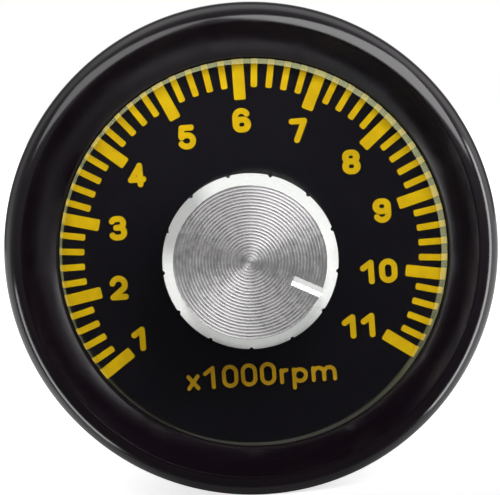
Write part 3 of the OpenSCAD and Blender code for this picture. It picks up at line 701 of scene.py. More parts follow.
LAMP_RESIN = Coated(
    "lamp_resin", srgb(238, 226, 150), srgb(226, 208, 118), 0.2, coat=0.4, grain_depth=0.002,
)
BOARD = Laminate("green_board", srgb(20, 82, 44), srgb(46, 118, 66))
CHIP_RESIN = Coated("chip_resin", srgb(24, 24, 25), srgb(32, 32, 32), 0.6, grain_depth=0.006)
BLUE_SLEEVE = Coated("blue_sleeve", srgb(34, 44, 96), srgb(28, 36, 82), 0.3, grain_size=0.5)
RESISTOR_BODY = Coated("resistor_body", srgb(196, 178, 142), srgb(176, 156, 120), 0.42)
FLOOR_WHITE = Paper("floor_white")


# Modelling helpers: every mesh starts as a few vertices and is shaped by bmesh operators


def rounded(corners: Sequence[tuple[float, float, float]], steps: int = 5) -> list[Point]:
    """Round the corners of an outline.

    Args:
        corners: each corner's two coordinates and its rounding radius, 0 for none.
        steps: pieces in each rounding.

    Returns:
        The outline's points, in the same order.
    """
    points: list[Point] = []
    for i, (x, y, radius) in enumerate(corners):
        here = Vector((x, y))
        if radius == 0:
            points.append((x, y))
            continue
        before = (Vector(corners[i - 1][:2]) - here).normalized()
        after = (Vector(corners[(i + 1) % len(corners)][:2]) - here).normalized()
        half = before.angle(after) / 2
        centre = here + (before + after).normalized() * radius / math.sin(half)
        start = here + before * radius / math.tan(half) - centre
        sweep = start.angle_signed(here + after * radius / math.tan(half) - centre)
        for k in range(steps + 1):
            turned_by = Matrix.Rotation(-sweep * k / steps, 2)
            points.append(tuple(centre + turned_by @ start))
    return points


def lathe(outline: Sequence[Point], steps: int) -> BMesh:
    """Spin a closed outline of radius and height into a solid.

    Args:
        outline: the points in order; two points of radius 0 make a solid middle.
        steps: faces round the axis.

    Returns:
        The solid, its normals pointing outwards.
    """
    mesh = bmesh.new()
    verts = [mesh.verts.new((r, 0.0, z)) for r, z in outline]
    edges = [mesh.edges.new((a, b)) for a, b in zip(verts, verts[1:] + verts[:1])]
    bmesh.ops.spin(
        mesh, geom=verts + edges, cent=(0, 0, 0), axis=(0, 0, 1), angle=FULL_TURN,
        steps=steps, use_merge=True,
    )
    bmesh.ops.remove_doubles(mesh, verts=mesh.verts[:], dist=1e-5)
    loose = [e for e in mesh.edges if not e.link_faces]
    bmesh.ops.delete(mesh, geom=loose, context="EDGES")
    bmesh.ops.recalc_face_normals(mesh, faces=mesh.faces[:])
    return mesh


def rod(radius: float, low: float, high: float, segments: int) -> BMesh:
    """Make a plain cylinder along Z between two heights.

    Args:
        radius: its radius.
        low: height of its lower end.
        high: height of its upper end.
        segments: faces round it.

    Returns:
        The cylinder.
    """
    mesh = bmesh.new()
    bmesh.ops.create_cone(
        mesh, cap_ends=True, segments=segments, radius1=radius, radius2=radius, depth=high - low
    )
    bmesh.ops.translate(mesh, verts=mesh.verts[:], vec=(0, 0, (low + high) / 2))
    return mesh


def slab(width: float, height: float, low: float, high: float) -> BMesh:
    """Make a box centred on the Z axis between two heights.

    Args:
        width: its size along X.
        height: its size along Y.
        low: height of its lower face.
        high: height of its upper face.

    Returns:
        The box.
    """
    mesh = bmesh.new()
    bmesh.ops.create_cube(mesh, size=1.0)
    bmesh.ops.scale(mesh, vec=(width, height, high - low), verts=mesh.verts[:])
    bmesh.ops.translate(mesh, verts=mesh.verts[:], vec=(0, 0, (low + high) / 2))
    return mesh


def turned(degrees: float, axis: str) -> Matrix:
    """Make a turn about an axis."""
    return Matrix.Rotation(math.radians(degrees), 4, axis)


def placed(mesh: BMesh, matrix: Matrix) -> BMesh:
    """Move a mesh by a matrix and return it."""
    bmesh.ops.transform(mesh, matrix=matrix, verts=mesh.verts[:])
    return mesh


def stored(mesh: BMesh, name: str) -> bpy.types.Mesh:
    """Store a mesh as Blender's data.

    Args:
        mesh: the mesh, which is used up.
        name: the data's name.

    Returns:
        The data.
    """
    data = bpy.data.meshes.new(name)
    mesh.to_mesh(data)
    mesh.free()
    return data


def linked(name: str, data: bpy.types.ID) -> Piece:
    """Make an object and link it to the scene.

    Args:
        name: the object's name.
        data: its mesh, lamp or camera.

    Returns:
        The object.
    """
    made = bpy.data.objects.new(name, data)
    bpy.context.scene.collection.objects.link(made)
    return made


def joined(meshes: Iterable[BMesh]) -> BMesh:
    """Gather several meshes in one.

    Args:
        meshes: the meshes, which are used up.

    Returns:
        The gathered mesh.
    """
    whole = bmesh.new()
    for mesh in meshes:
        part = stored(mesh, "part")
        whole.from_mesh(part)
        bpy.data.meshes.remove(part)
    return whole


def cut(mesh: BMesh, cutter: BMesh) -> BMesh:
    """Take one solid away from another.

    Args:
        mesh: the solid that is cut, which is used up.
        cutter: the solid that is taken away, which is used up.

    Returns:
        What is left.
    """
    stock = linked("stock", stored(mesh, "stock"))
    tool = linked("cutter", stored(cutter, "cutter"))
    modifier = stock.modifiers.new("cut", "BOOLEAN")
    modifier.object = tool
    modifier.operation = "DIFFERENCE"
    modifier.solver = "EXACT"
    bpy.context.view_layer.update()
    result = bmesh.new()
    result.from_object(stock, bpy.context.evaluated_depsgraph_get())
    for made in (stock, tool):
        data = made.data
        bpy.data.objects.remove(made)
        bpy.data.meshes.remove(data)
    return result


def trim(mesh: BMesh, place: Vector, out: Vector) -> None:
    """Cut a closed mesh off at a plane and close it again.

    Args:
        mesh: the mesh.
        place: a point of the plane.
        out: the way in which everything goes.
    """
    sliced = bmesh.ops.bisect_plane(
        mesh, geom=mesh.verts[:] + mesh.edges[:] + mesh.faces[:], dist=1e-5,
        plane_co=place, plane_no=out, clear_outer=True,
    )
    rim = [g for g in sliced["geom_cut"] if isinstance(g, bmesh.types.BMEdge)]
    bmesh.ops.holes_fill(mesh, edges=rim, sides=0)


def settle(
    mesh: BMesh,
    name: str,
    body: Body,
    finishes: Sequence[Finish],
    replaced: Sequence[str] = (),
    matrix: Matrix = TO_ROW,
) -> Piece:
    """Turn a finished mesh into a piece that rides on its body.

    Args:
        mesh: the mesh, which is used up.
        name: the piece's name.
        body: the body that it rides on.
        finishes: the finishes, in the order of the faces' material numbers.
        replaced: the CAD nodes that the piece stands for.
        matrix: takes the mesh to the row frame.

    Returns:
        The piece.
    """
    data = stored(placed(mesh, matrix), name)
    data.shade_smooth()
    data.set_sharp_from_angle(angle=SHARP)
    for finish in finishes:
        data.materials.append(finish.material())
    piece = linked(name, data)
    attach(piece, body.value)
    if replaced:
        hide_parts(*replaced)
    return piece


def dress(node: str, finish: Finish) -> Piece:
    """Give a CAD node its finish.

    Args:
        node: the node's name.
        finish: its finish.

    Returns:
        The node's object.
    """
    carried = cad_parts[node]
    carried.data.materials.clear()
    carried.data.materials.append(finish.material())
    return carried


def eased(node: str, width: float, name: str, body: Body, finish: Finish) -> Piece:
    """Copy a CAD node, ease its sharp edges and let the copy stand for it.

    Args:
        node: the node's name.
        width: width of the eased edges.
        name: the new piece's name.
        body: the body that it rides on.
        finish: its finish.

    Returns:
        The piece.
    """
    mesh = bmesh.new()
    mesh.from_mesh(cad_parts[node].data)
    bmesh.ops.remove_doubles(mesh, verts=mesh.verts[:], dist=1e-7)
    bmesh.ops.dissolve_limit(
        mesh, angle_limit=math.radians(1.0), verts=mesh.verts[:], edges=mesh.edges[:]
    )
    sharp = [e for e in mesh.edges if len(e.link_faces) == 2 and e.calc_face_angle() > EASED_FROM]
    bmesh.ops.bevel(
        mesh, geom=sharp, offset=width * MM, offset_type="OFFSET", segments=2, profile=0.5,
        affect="EDGES", clamp_overlap=True, material=-1,
    )
    return settle(mesh, name, body, [finish], [node], Matrix.Identity(4))


# Sub-assemblies


class SubAssembly(ABC):
    """A group of pieces that is built and dressed together."""

    @abstractmethod
    def build(self) -> list[Piece]:
        """Build and dress the group and return its pieces."""


@dataclass
class Dressed(SubAssembly):
    """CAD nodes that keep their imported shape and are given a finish."""

    finishes: tuple[tuple[str, Finish], ...] = ()

    def build(self) -> list[Piece]:
        """Dress every node and return them."""
        return [dress(node, finish) for node, finish in self.finishes]


@dataclass
class Bezel(SubAssembly):
    """Rolled ring with a rounded rim and a hollow cone down to the opening."""

    outer_r: float = 30.0
    depth: float = 8.6
    rim_round: float = 2.5
    crest_round: float = 0.02
    crest_step: int = 5
    cone_hollow: float = 0.27
    cone_steps: int = 24
    pocket_r: float = 28.8
    roll_inner_r: float = 27.2
    edge_round: float = 0.35
    flange_round: float = 0.2
    roll_round: float = 0.25
    lip_round: float = 0.1
    web_round: float = 0.05

    def cone(self) -> list[Point]:
        """Draw the hollow cone, which steepens from the opening to the crest.

        Returns:
            The points from the crest down to the opening.
        """
        run = self.outer_r - self.rim_round - STACK.opening_r
        rise = self.depth - STACK.lip_front
        points = []
        for k in range(self.cone_steps, -1, -1):
            share = k / self.cone_steps
            hollow = 4 * self.cone_hollow * share * (1 - share)
            points.append((STACK.opening_r + run * share, STACK.lip_front + rise * share - hollow))
        return points

    def outline(self) -> list[Point]:
        """Draw the section, from the rolled edge round the rim to the pocket.

        Returns:
            The outline's points.
        """
        rim_r, rim_z = self.outer_r - self.rim_round, self.depth - self.rim_round
        crest = [
            (rim_r + self.rim_round * math.cos(a), rim_z + self.rim_round * math.sin(a))
            for a in map(math.radians, range(0, 90, self.crest_step))
        ]
        cone = self.cone()
        foot = rounded([
            (self.pocket_r, STACK.flange_back, self.flange_round),
            (self.roll_inner_r, STACK.flange_back, self.flange_round),
            (self.roll_inner_r, 0.0, self.roll_round),
            (self.outer_r, 0.0, self.edge_round),
            (*crest[0], 0.0),
        ])[:-1]
        corner = rounded([(*crest[-1], 0.0), (*cone[0], self.crest_round), (*cone[2], 0.0)], 8)[1:]
        throat = rounded([
            (*cone[-2], 0.0),
            (*cone[-1], self.lip_round),
            (STACK.opening_r, STACK.web_back, self.web_round),
            (self.pocket_r, STACK.web_back, 0.0),
        ], 4)[1:]
        return [*foot, *crest, *corner, *cone[3:-1], *throat]

    def build(self) -> list[Piece]:
        """Build the ring, its opening shifted off the middle of the rim.

        Returns:
            The ring, and the seal and spacer that it traps.
        """
        mesh = lathe(self.outline(), FINE_STEPS)
        crest_r = self.outer_r - self.rim_round
        for vert in mesh.verts:
            reach = vert.co.to_2d().length
            if reach < crest_r and vert.co.z > STACK.flange_back + NEAR:
                share = min(1.0, (crest_r - reach) / (crest_r - STACK.opening_r))
                vert.co += share * Vector((*STACK.opening_shift, 0.0))
        ring = settle(
            mesh, "bezel_ring", Body.CASE, [BEZEL_PAINT], ["bezel"],
        )
        return [ring, dress("lens_seal", RUBBER), dress("dial_spacer", BLACK_CARD)]


@dataclass
class Lens(SubAssembly):
    """Clear disc whose bevelled pad stands in the opening, a little out of true."""

    hole_r: float = 7.97
    pad_r: float = 23.65
    face_r: float = 23.12
    bevel_h: float = 0.4
    runout: Point = (-0.2, -0.05)

    @staticmethod
    def shift(mesh: BMesh, radii: Point, low: float, way: Point) -> None:
        """Shift the vertices between two radii and above a height.

        Args:
            mesh: the disc.
            radii: the inner and the outer radius.
            low: the height.
            way: the shift along X and Y.
        """
        inner, outer = radii
        ring = [v for v in mesh.verts if inner < v.co.to_2d().length < outer and v.co.z > low]
        bmesh.ops.translate(mesh, verts=ring, vec=(*way, 0.0))

    def build(self) -> list[Piece]:
        """Build the disc, mark its bevel as cut edge and set pad and bore off its middle.

        Returns:
            The disc.
        """
        shoulder = STACK.lens_front - self.bevel_h
        mesh = lathe([
            (self.hole_r, STACK.lens_back),
            (STACK.flange_r, STACK.lens_back),
            (STACK.flange_r, STACK.lens_flange),
            (self.pad_r, STACK.lens_flange),
            (self.pad_r, shoulder),
            (self.face_r, STACK.lens_front),
            (self.hole_r, STACK.lens_front),
        ], FINE_STEPS)
        for face in mesh.faces:
            middle = face.calc_center_median()
            if middle.z > shoulder + NEAR and middle.to_2d().length > self.face_r + NEAR:
                face.material_index = 1
        bore, pad = self.hole_r + NEAR, self.pad_r + NEAR
        self.shift(mesh, (bore, pad), shoulder + NEAR, self.runout)
        self.shift(mesh, (bore, pad), 0.0, STACK.opening_shift)
        self.shift(mesh, (0.0, bore), 0.0, (0.0, -STACK.axis_drop))
        return [settle(
            mesh, "lens_disc", Body.CASE, [LENS_CLEAR, LENS_EDGE], ["lens"],
        )]


@dataclass
class Dial(Dressed):
    """Black card with its printed scale, numerals and unit legend."""

    finishes: tuple[tuple[str, Finish], ...] = (
        ("dial_plate", DIAL_CARD_PAINTED_LIGHT),
        ("scale_marks", SCALE_INK),
        ("scale_numerals", SCALE_INK),
        ("unit_legend", LEGEND_INK),
    )


class KnobFace(IntEnum):
    """Material numbers of the knob's faces."""

    SPUN = 0
    CHAMFER = 1
    SIDE = 2
    INDEX = 3


@dataclass
class Knob(SubAssembly):
    """Turned knob: spun face, polished chamfer, grip grooves and index groove."""

    radius: float = 10.4
    back: float = 6.0
    face: float = 16.6
    chamfer_w: float = 1.35
    chamfer_h: float = 1.6
    groove_pitch: float = 0.375
    groove_depth: float = 0.028
    groove_steps: int = 6
    centre_r: float = 2.5
    edge_round: float = 0.05
    shoulder_round: float = 0.12
    back_round: float = 0.15
    recess_round: float = 0.1
    recess_r: float = 8.0
    recess_z: float = 7.3
    bore_r: float = 3.02
    bore_z: float = 14.6
    grip_count: int = 13
    grip_r: float = 0.25
    grip_phase: float = 0.62
    index_w: float = 1.25
    index_depth: float = 0.3
    index_start: float = 5.4
    index_angle: float = -27.5
    grub_r: float = 1.5
    grub_z: float = 10.95
    over: float = 1.0
    slack: float = 0.1
    land_slack: float = 0.02
    groove_slack: float = 0.01
    flank_tilt: float = 0.3
    end_tilt: float = 0.1

    def outline(self) -> list[Point]:
        """Draw the section with its scalloped face.

        Returns:
            The outline's points, from the middle of the face to the bore's end.
        """
        face_r = self.radius - self.chamfer_w
        steps = self.groove_steps
        scallops = [
            (
                (i + k / steps) * self.groove_pitch,
                self.face - self.groove_depth * math.sin(math.pi * k / steps)
                * min(1.0, (i + 1) * self.groove_pitch / self.centre_r),
            )
            for i in range(int(face_r / self.groove_pitch))
            for k in range(steps)
        ]
        wall = rounded([
            (scallops[-1][0] + self.groove_pitch / steps, self.face, 0.0),
            (face_r, self.face, self.edge_round),
            (self.radius, self.face - self.chamfer_h, self.shoulder_round),
            (self.radius, self.back, self.back_round),
            (self.recess_r, self.back, self.recess_round),
            (self.recess_r, self.recess_z, 0.0),
            (self.bore_r, self.recess_z, 0.0),
            (self.bore_r, self.bore_z, 0.0),
            (0.0, self.bore_z, 0.0),
        ])
        return [*scallops, *wall]

    def cutters(self) -> list[BMesh]:
        """Make the cutters of the grip grooves, the index groove and the grub screw's hole.

        Returns:
            The three cutters, in the knob's own turn.
        """
        step = FULL_TURN / self.grip_count
        out = Matrix.Translation((self.radius, 0, 0))
        level = turned(90, "Y")
        grips = joined(
            placed(
                rod(self.grip_r, self.back - self.over, self.face + self.over, segments=16),
                Matrix.Rotation((i + self.grip_phase) * step, 4, "Z") @ out,
            )
            for i in range(self.grip_count)
        )
        side = self.index_w / math.sqrt(2)
        groove = slab(side, side, self.index_start, self.radius + self.over)
        turn = level @ turned(45, "Z")
        shallow = Matrix.Scale(2 * self.index_depth / self.index_w, 4, (0, 0, 1))
        placed(groove, Matrix.Translation((0, 0, self.face)) @ shallow @ turn)
        hole = rod(self.grub_r, 0, self.radius + self.over, segments=32)
        placed(hole, Matrix.Translation((0, 0, self.grub_z)) @ level)
        placed(hole, Matrix.Rotation(math.pi + (0.5 + self.grip_phase - 1) * step, 4, "Z"))
        return [grips, groove, hole]

    def look(self, face: bmesh.types.BMFace) -> KnobFace:
        """Tell a face's finish by its place and tilt.

        Args:
            face: the face, in the knob's own turn.

        Returns:
            The finish's number.
        """
        middle, tilt = face.calc_center_median(), face.normal
        milled = abs(middle.y) < self.index_w / 2 and middle.x > self.index_start - self.slack
        land_r = self.radius - self.chamfer_w - self.land_slack
        if milled and abs(tilt.y) > self.flank_tilt and abs(tilt.x) < self.end_tilt:
            return KnobFace.INDEX
        grooves_z = self.face - self.groove_depth - self.groove_slack
        if middle.z > grooves_z and middle.to_2d().length < land_r:
            return KnobFace.SPUN
        if middle.z > self.face - self.chamfer_h - self.slack:
            return KnobFace.CHAMFER
        return KnobFace.SIDE

    def build(self) -> list[Piece]:
        """Build the knob and dress what turns with it.

        Returns:
            The knob, its grub screw, shaft, clip, rotor and wiper.
        """
        mesh = lathe(self.outline(), FINE_STEPS)
        for cutter in self.cutters():
            mesh = cut(mesh, cutter)
        for face in mesh.faces:
            face.material_index = self.look(face)
        drop = Matrix.Translation((0, -STACK.axis_drop, 0))
        placed(mesh, drop @ turned(self.index_angle, "Z"))
        knob = settle(
            mesh, "knob_turned", Body.KNOB,
            [KNOB_FACE, KNOB_POLISH, KNOB_SIDE_SHADED, KNOB_INDEX], ["knob"],
        )
        return [
            knob,
            dress("grub_screw", BLACK_STEEL),
            dress("control_shaft", PLAIN_ALUMINIUM),
            dress("shaft_clip", BLACK_STEEL),
            dress("control_rotor", BLACK_MOULDING),
            dress("control_wiper", BRONZE),
        ]


@dataclass
class ClampStuds(SubAssembly):
    """Two threaded studs with their nuts and washers behind the can."""

    spacing: float = 20.024
    major_r: float = 2.0
    core_r: float = 1.65
    pitch: float = 0.7
    head_r: float = 3.6
    head_t: float = 1.2
    can_floor: float = -35.2
    can_end: float = -36.0
    washer_r: float = 4.0
    washer_t: float = 0.8
    nut_across: float = 7.0
    nut_t: float = 3.2
    end: float = -54.0
    crest_share: float = 0.12
    run_in: float = 1.5
    thread_steps: int = 36
    thread_gap: float = 0.02
    core_gap: float = 0.1
    nut_land: float = 0.1
    nut_rise: float = 0.34
    nut_mouth: float = 0.32
    nut_lead: float = 0.3
    washer_gap: float = 0.1
    washer_round: float = 0.2
    under_round: float = 0.1
    hole_round: float = 0.05

    def thread(self, low: float, high: float) -> BMesh:
        """Spin a zigzag by one pitch a turn and trim both ends flat.

        Args:
            low: height of the lower end.
            high: height of the upper end.

        Returns:
            The closed threaded rod.
        """
        mesh = bmesh.new()
        turns = math.ceil((high - low) / self.pitch) + 2
        flat = self.crest_share * self.pitch
        verts = []
        for i in range(turns):
            foot = low + (i - self.run_in) * self.pitch
            for radius, rise in (
                (self.core_r, 0.0), (self.core_r, flat),
                (self.major_r, self.pitch / 2), (self.major_r, self.pitch / 2 + flat),
            ):
                verts.append(mesh.verts.new((radius, 0.0, foot + rise)))
        edges = [mesh.edges.new(pair) for pair in zip(verts, verts[1:])]
        bmesh.ops.spin(
            mesh, geom=verts + edges, cent=(0, 0, 0), axis=(0, 0, 1), angle=FULL_TURN,
            dvec=(0, 0, self.pitch / self.thread_steps), steps=self.thread_steps, use_merge=False,
        )
        bmesh.ops.remove_doubles(mesh, verts=mesh.verts[:], dist=1e-4)
        for height, way in ((low, -1), (high, 1)):
            trim(mesh, Vector((0, 0, height)), Vector((0, 0, way)))
        bmesh.ops.recalc_face_normals(mesh, faces=mesh.faces[:])
        return mesh

    def stud(self) -> BMesh:
        """Make one stud: head, core and threaded end.

        Returns:
            The stud on the Z axis.
        """
        nut_end = self.can_end - self.washer_t - self.nut_t
        head_end, core_end = self.can_floor + self.head_t, nut_end - self.core_gap
        core = lathe([
            (0.0, head_end), (self.head_r, head_end), (self.head_r, self.can_floor),
            (self.core_r, self.can_floor), (self.core_r, core_end), (0.0, core_end),
        ], steps=48)
        return joined([core, self.thread(self.end, nut_end - self.thread_gap)])

    def nut(self) -> BMesh:
        """Turn a chamfered blank and mill its six flats.

        Returns:
            The nut on the Z axis.
        """
        top = self.can_end - self.washer_t
        foot = top - self.nut_t
        corner, land = self.nut_across / math.sqrt(3), self.nut_across / 2 - self.nut_land
        bore, mouth = self.core_r + self.thread_gap, self.core_r + self.nut_mouth
        mesh = lathe([
            (mouth, foot), (land, foot), (corner, foot + self.nut_rise),
            (corner, top - self.nut_rise), (land, top), (mouth, top),
            (bore, top - self.nut_lead), (bore, foot + self.nut_lead),
        ], steps=96)
        for degrees in range(30, 360, 60):
            out = Vector((math.cos(math.radians(degrees)), math.sin(math.radians(degrees)), 0))
            trim(mesh, out * self.nut_across / 2, out)
        bmesh.ops.recalc_face_normals(mesh, faces=mesh.faces[:])
        return mesh

    def washer(self) -> BMesh:
        """Turn a washer with eased edges.

        Returns:
            The washer on the Z axis.
        """
        low, high = self.can_end - self.washer_t, self.can_end
        hole_r = self.core_r + self.washer_gap
        return lathe(rounded([
            (hole_r, low, self.hole_round), (self.washer_r, low, self.washer_round),
            (self.washer_r, high, self.under_round), (hole_r, high, self.hole_round),
        ], steps=4), steps=72)

    def pair(self, make: Callable[[], BMesh]) -> BMesh:
        """Make a piece for each of the two places."""
        return joined(
            placed(make(), Matrix.Translation((side * self.spacing, 0, 0))) for side in (-1, 1)
        )

    def build(self) -> list[Piece]:
        """Build both studs with their nuts and washers.

        Returns:
            The studs, the nuts and the washers.
        """
        groups = (
            (self.stud, "threaded_studs", BRIGHT_ZINC, "clamp_studs"),
            (self.nut, "chamfered_nuts", NUT_ZINC, "stud_nuts"),
            (self.washer, "turned_washers", NUT_ZINC, "stud_washers"),
        )
        return [
            settle(self.pair(make), name, Body.CASE, [finish], [node])
            for make, name, finish, node in groups
        ]


@dataclass
class CoverScrews(SubAssembly):
    """Four pan head screws with cross recesses that hold the rear cover."""

    place_r: float = 19.9
    place_angle: float = 51.0
    head_r: float = 2.25
    head_t: float = 1.5
    shank_r: float = 1.25
    shank_l: float = 6.7
    seat: float = -38.5
    arm: float = 2.5
    arm_w: float = 0.5
    cross_start: float = 0.2
    cross_depth: float = 1.0
    cross_foot: Place = (0.42, 0.8, 1.0)
    dome_h: float = 0.7
    rim_h: float = 0.55
    under_round: float = 0.1
    turns: tuple[float, ...] = (12.0, 47.0, 75.0, 28.0)

    def screw(self) -> BMesh:
        """Make one screw, its head towards -Z.

        Returns:
            The screw on the Z axis.
        """
        top = self.seat - self.head_t
        dome = (
            (self.head_r * math.sin(a), top + self.dome_h * (1 - math.cos(a)))
            for a in map(math.radians, range(0, 81, 10))
        )
        mesh = lathe([
            *dome,
            (self.head_r, self.seat - self.rim_h), (self.head_r, self.seat - self.under_round),
            (self.head_r - self.under_round, self.seat), (self.shank_r, self.seat),
            (self.shank_r, self.seat + self.shank_l), (0.0, self.seat + self.shank_l),
        ], steps=48)
        for degrees in (0, 90):
            bar = slab(self.arm, self.arm_w, top - self.cross_start, top + self.cross_depth)
            deep = [v for v in bar.verts if v.co.z > top]
            bmesh.ops.scale(bar, vec=self.cross_foot, verts=deep)
            mesh = cut(mesh, placed(bar, turned(degrees, "Z")))
        return mesh

    def build(self) -> list[Piece]:
        """Build the four screws, each with its cross at its own turn.

        Returns:
            The screws.
        """
        turn = math.radians(self.place_angle)
        x, y = self.place_r * math.cos(turn), self.place_r * math.sin(turn)
        spots = [Matrix.Translation((sx, sy, 0)) for sx, sy in ((x, y), (-x, y), (-x, -y), (x, -y))]
        screws = joined(
            placed(self.screw(), spot @ turned(degrees, "Z"))
            for spot, degrees in zip(spots, self.turns)
        )
        return [settle(
            screws, "pan_head_screws", Body.CASE, [NUT_ZINC], ["cover_screws"],
        )]


@dataclass
class BackMouldings(SubAssembly):
    """Plain can and selector body, and the cover, inlet, pins and slider with eased edges."""

    ease: float = 0.15
    fine_ease: float = 0.06

    def build(self) -> list[Piece]:
        """Dress the can and the selector's body, and ease the other four.

        Returns:
            The pieces of the back.
        """
        mouldings = (
            ("rear_cover", self.ease, "cover_moulding", Body.CASE, BLACK_MOULDING),
            ("socket_shell", self.ease, "socket_moulding", Body.CASE, BLACK_MOULDING),
            ("socket_pins", self.fine_ease, "contact_pins", Body.CASE, GOLD),
            ("switch_slider", self.fine_ease, "slider_button", Body.SELECTOR, WHITE_MOULDING),
        )
        plain = [dress("can", CAN_PAINT), dress("switch_body", PLAIN_ALUMINIUM)]
        return [*plain, *(eased(*moulding) for moulding in mouldings)]


@dataclass
class Inside(Dressed):
    """The control, the light box and the boards, which the can hides."""

    finishes: tuple[tuple[str, Finish], ...] = (
        ("control_bushing", ZINC_CASTING),
        ("control_washer", NUT_ZINC),
        ("control_nut", BRASS),
        ("control_cup", NUT_ZINC),
        ("control_wafer", BROWN_LAMINATE),
        ("control_track", CARBON_INK),
        ("control_terminals", TIN),
        ("light_box", WHITE_MOULDING),
        ("lamps", LAMP_RESIN),
        ("light_board", BOARD),
        ("board_screws", NUT_ZINC),
        ("front_pillars", BRASS),
        ("main_board", BOARD),
        ("processor", CHIP_RESIN),
        ("capacitors", BLUE_SLEEVE),
        ("resistors", RESISTOR_BODY),
        ("crystal", NUT_ZINC),
        ("link_headers", BLACK_MOULDING),
        ("link_pins", GOLD),
        ("rear_pillars", BRASS),
    )


# Studio


@dataclass(frozen=True)
class Softbox:
    """A rectangular lamp that faces the dial."""

    name: str
    place: Place
    size: Point
    power: float


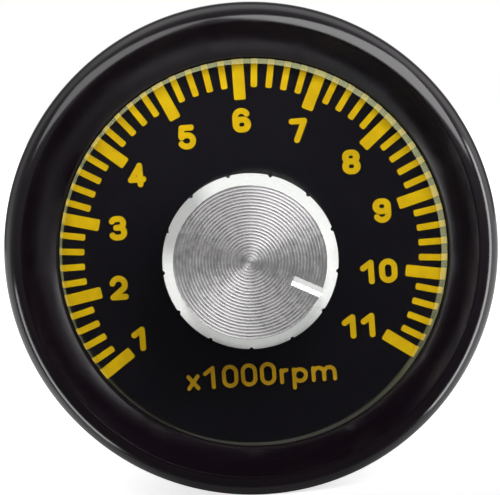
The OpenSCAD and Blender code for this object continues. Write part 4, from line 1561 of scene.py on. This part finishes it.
@dataclass
class Studio:
    """Camera, lamps, world and floor."""

    camera_place: Place = (4.7, 19.0, 300.0)
    camera_target: Place = (-0.17, -0.13, 0.0)
    camera_roll: float = 4.23
    camera_clip: Point = (0.01, 20.0)
    lens_mm: float = 174.6
    sensor_mm: float = 36.0
    dark_way: Place = (-6.6, -28.0, 411.0)
    room_tones: tuple[Point, ...] = (
        (11.0, 0.02), (18.0, 0.18), (60.0, 0.16), (80.0, 0.4), (92.0, 0.7), (112.0, 0.7),
        (126.0, 0.1),
    )
    back_tones: tuple[Point, ...] = (
        (80.0, 0.0), (90.0, 1.0), (108.0, 1.0), (124.0, 0.12), (150.0, 0.12), (168.0, 0.9),
    )
    lit_tones: tuple[Point, ...] = ((12.0, 0.02), (22.0, 0.68), (80.0, 0.68), (92.0, 1.0))
    low_tone: float = 0.36
    low_band: Point = (-0.3, 0.05)
    shade_way: Place = (-0.85, 0.49, -0.17)
    shade_band: Point = (0.8, 0.95)
    shade_tone: float = 0.35
    floor_drop: float = 30.02
    floor_front: float = 8.6
    floor_size: float = 3000.0
    softboxes: tuple[Softbox, ...] = (
        Softbox("window", (90.0, 106.0, 158.0), (204.0, 124.0), 0.245),
        Softbox("fill", (-89.0, 110.0, 141.0), (150.0, 85.0), 0.07),
        Softbox("right_strip", (226.0, -61.0, 62.0), (56.0, 320.0), 0.27),
        Softbox("left_strip", (-196.0, -118.0, 82.0), (50.0, 190.0), 0.1),
    )

    def add_camera(self) -> None:
        """Set the camera up at the photograph's view."""
        data = bpy.data.cameras.new("view")
        data.lens, data.sensor_width, data.sensor_fit = self.lens_mm, self.sensor_mm, "HORIZONTAL"
        data.clip_start, data.clip_end = self.camera_clip
        camera = linked("view", data)
        place, target = TO_ROW @ Vector(self.camera_place), TO_ROW @ Vector(self.camera_target)
        roll = Quaternion((0, 0, 1), -math.radians(self.camera_roll))
        camera.location = place
        camera.rotation_mode = "QUATERNION"
        camera.rotation_quaternion = (target - place).to_track_quat("-Z", "Y") @ roll
        bpy.context.scene.camera = camera

    def add_lamp(self, box: Softbox) -> None:
        """Add one softbox, aimed at the middle of the dial.

        Args:
            box: the softbox.
        """
        data = bpy.data.lights.new(box.name, "AREA")
        data.shape, data.size, data.size_y = "RECTANGLE", box.size[0] * MM, box.size[1] * MM
        data.energy = box.power
        lamp = linked(box.name, data)
        lamp.visible_camera = False
        lamp.location = TO_ROW @ Vector(box.place)
        lamp.rotation_mode = "QUATERNION"
        lamp.rotation_quaternion = (-lamp.location).to_track_quat("-Z", "Y")

    def level(self, graph: Graph, way: Socket) -> Socket:
        """Dim the room towards the ground and round one shaded corner.

        Args:
            graph: the world's graph.
            way: the way that a ray goes.

        Returns:
            The room's level along that way.
        """
        low = graph.mapped(graph.parts(way)[2], *self.low_band, self.low_tone, 1.0)
        near = graph.facing(way, self.shade_way)
        corner = graph.mapped(near, *self.shade_band, 1.0, self.shade_tone)
        return graph.calc("MULTIPLY", low, corner)

    def add_world(self) -> None:
        """Give the world a white ground for the camera and a grey room for every other ray."""
        world = bpy.data.worlds.new("room")
        world.use_nodes = True
        bpy.context.scene.world = world
        graph = Graph(world.node_tree)
        path = graph.add("ShaderNodeLightPath").outputs
        way = graph.add("ShaderNodeTexCoord").outputs["Generated"]
        angle = graph.calc("ARCCOSINE", graph.facing(way, self.dark_way))
        off = graph.calc("DIVIDE", angle, math.pi)
        level = self.level(graph, way)
        room, back, lit = (
            graph.ramp(off, [(degrees / 180, (tone, tone, tone)) for degrees, tone in tones])
            for tones in (self.room_tones, self.back_tones, self.lit_tones)
        )
        bounced = graph.calc("MAXIMUM", path["Is Glossy Ray"], path["Is Transmission Ray"])
        mirrored = graph.calc("MULTIPLY", bounced, graph.calc("MULTIPLY", back, level))
        soft = graph.calc("MAXIMUM", path["Is Diffuse Ray"], path["Is Transmission Ray"])
        inputs = {"Color": graph.blend(soft, room, lit), "Strength": level}
        walls = graph.add("ShaderNodeBackground", inputs).outputs[0]
        ground = graph.add("ShaderNodeBackground", {"Color": (1.0, 1.0, 1.0)}).outputs[0]
        share = graph.calc("MAXIMUM", path["Is Camera Ray"], mirrored)
        graph.add("ShaderNodeOutputWorld", {"Surface": graph.merge(share, walls, ground)})

    def add_floor(self) -> None:
        """Lay the white floor, which takes the part's soft shadow."""
        mesh = bmesh.new()
        half = self.floor_size * MM / 2
        bmesh.ops.create_grid(mesh, x_segments=1, y_segments=1, size=half)
        back = half - self.floor_front * MM
        bmesh.ops.translate(mesh, verts=mesh.verts[:], vec=(0, back, -self.floor_drop * MM))
        data = stored(mesh, "floor")
        data.materials.append(FLOOR_WHITE.material())
        floor = linked("floor", data)

    def build(self) -> None:
        """Set the whole studio up."""
        bpy.context.scene.view_settings.view_transform = "Standard"
        self.add_camera()
        self.add_world()
        self.add_floor()
        for box in self.softboxes:
            self.add_lamp(box)


def main() -> None:
    """Build every sub-assembly, report its pieces and set the studio up."""
    logging.basicConfig(level=logging.INFO, format="%(message)s")
    assemblies = (
        Bezel(), Lens(), Dial(), Knob(), ClampStuds(), CoverScrews(), BackMouldings(), Inside(),
    )
    for assembly in assemblies:
        for piece in assembly.build():
            faces = len(piece.data.polygons)
            LOG.info("%s: %s, %d faces", type(assembly).__name__, piece.name, faces)
    Studio().build()


if __name__ == "__main__":
    main()
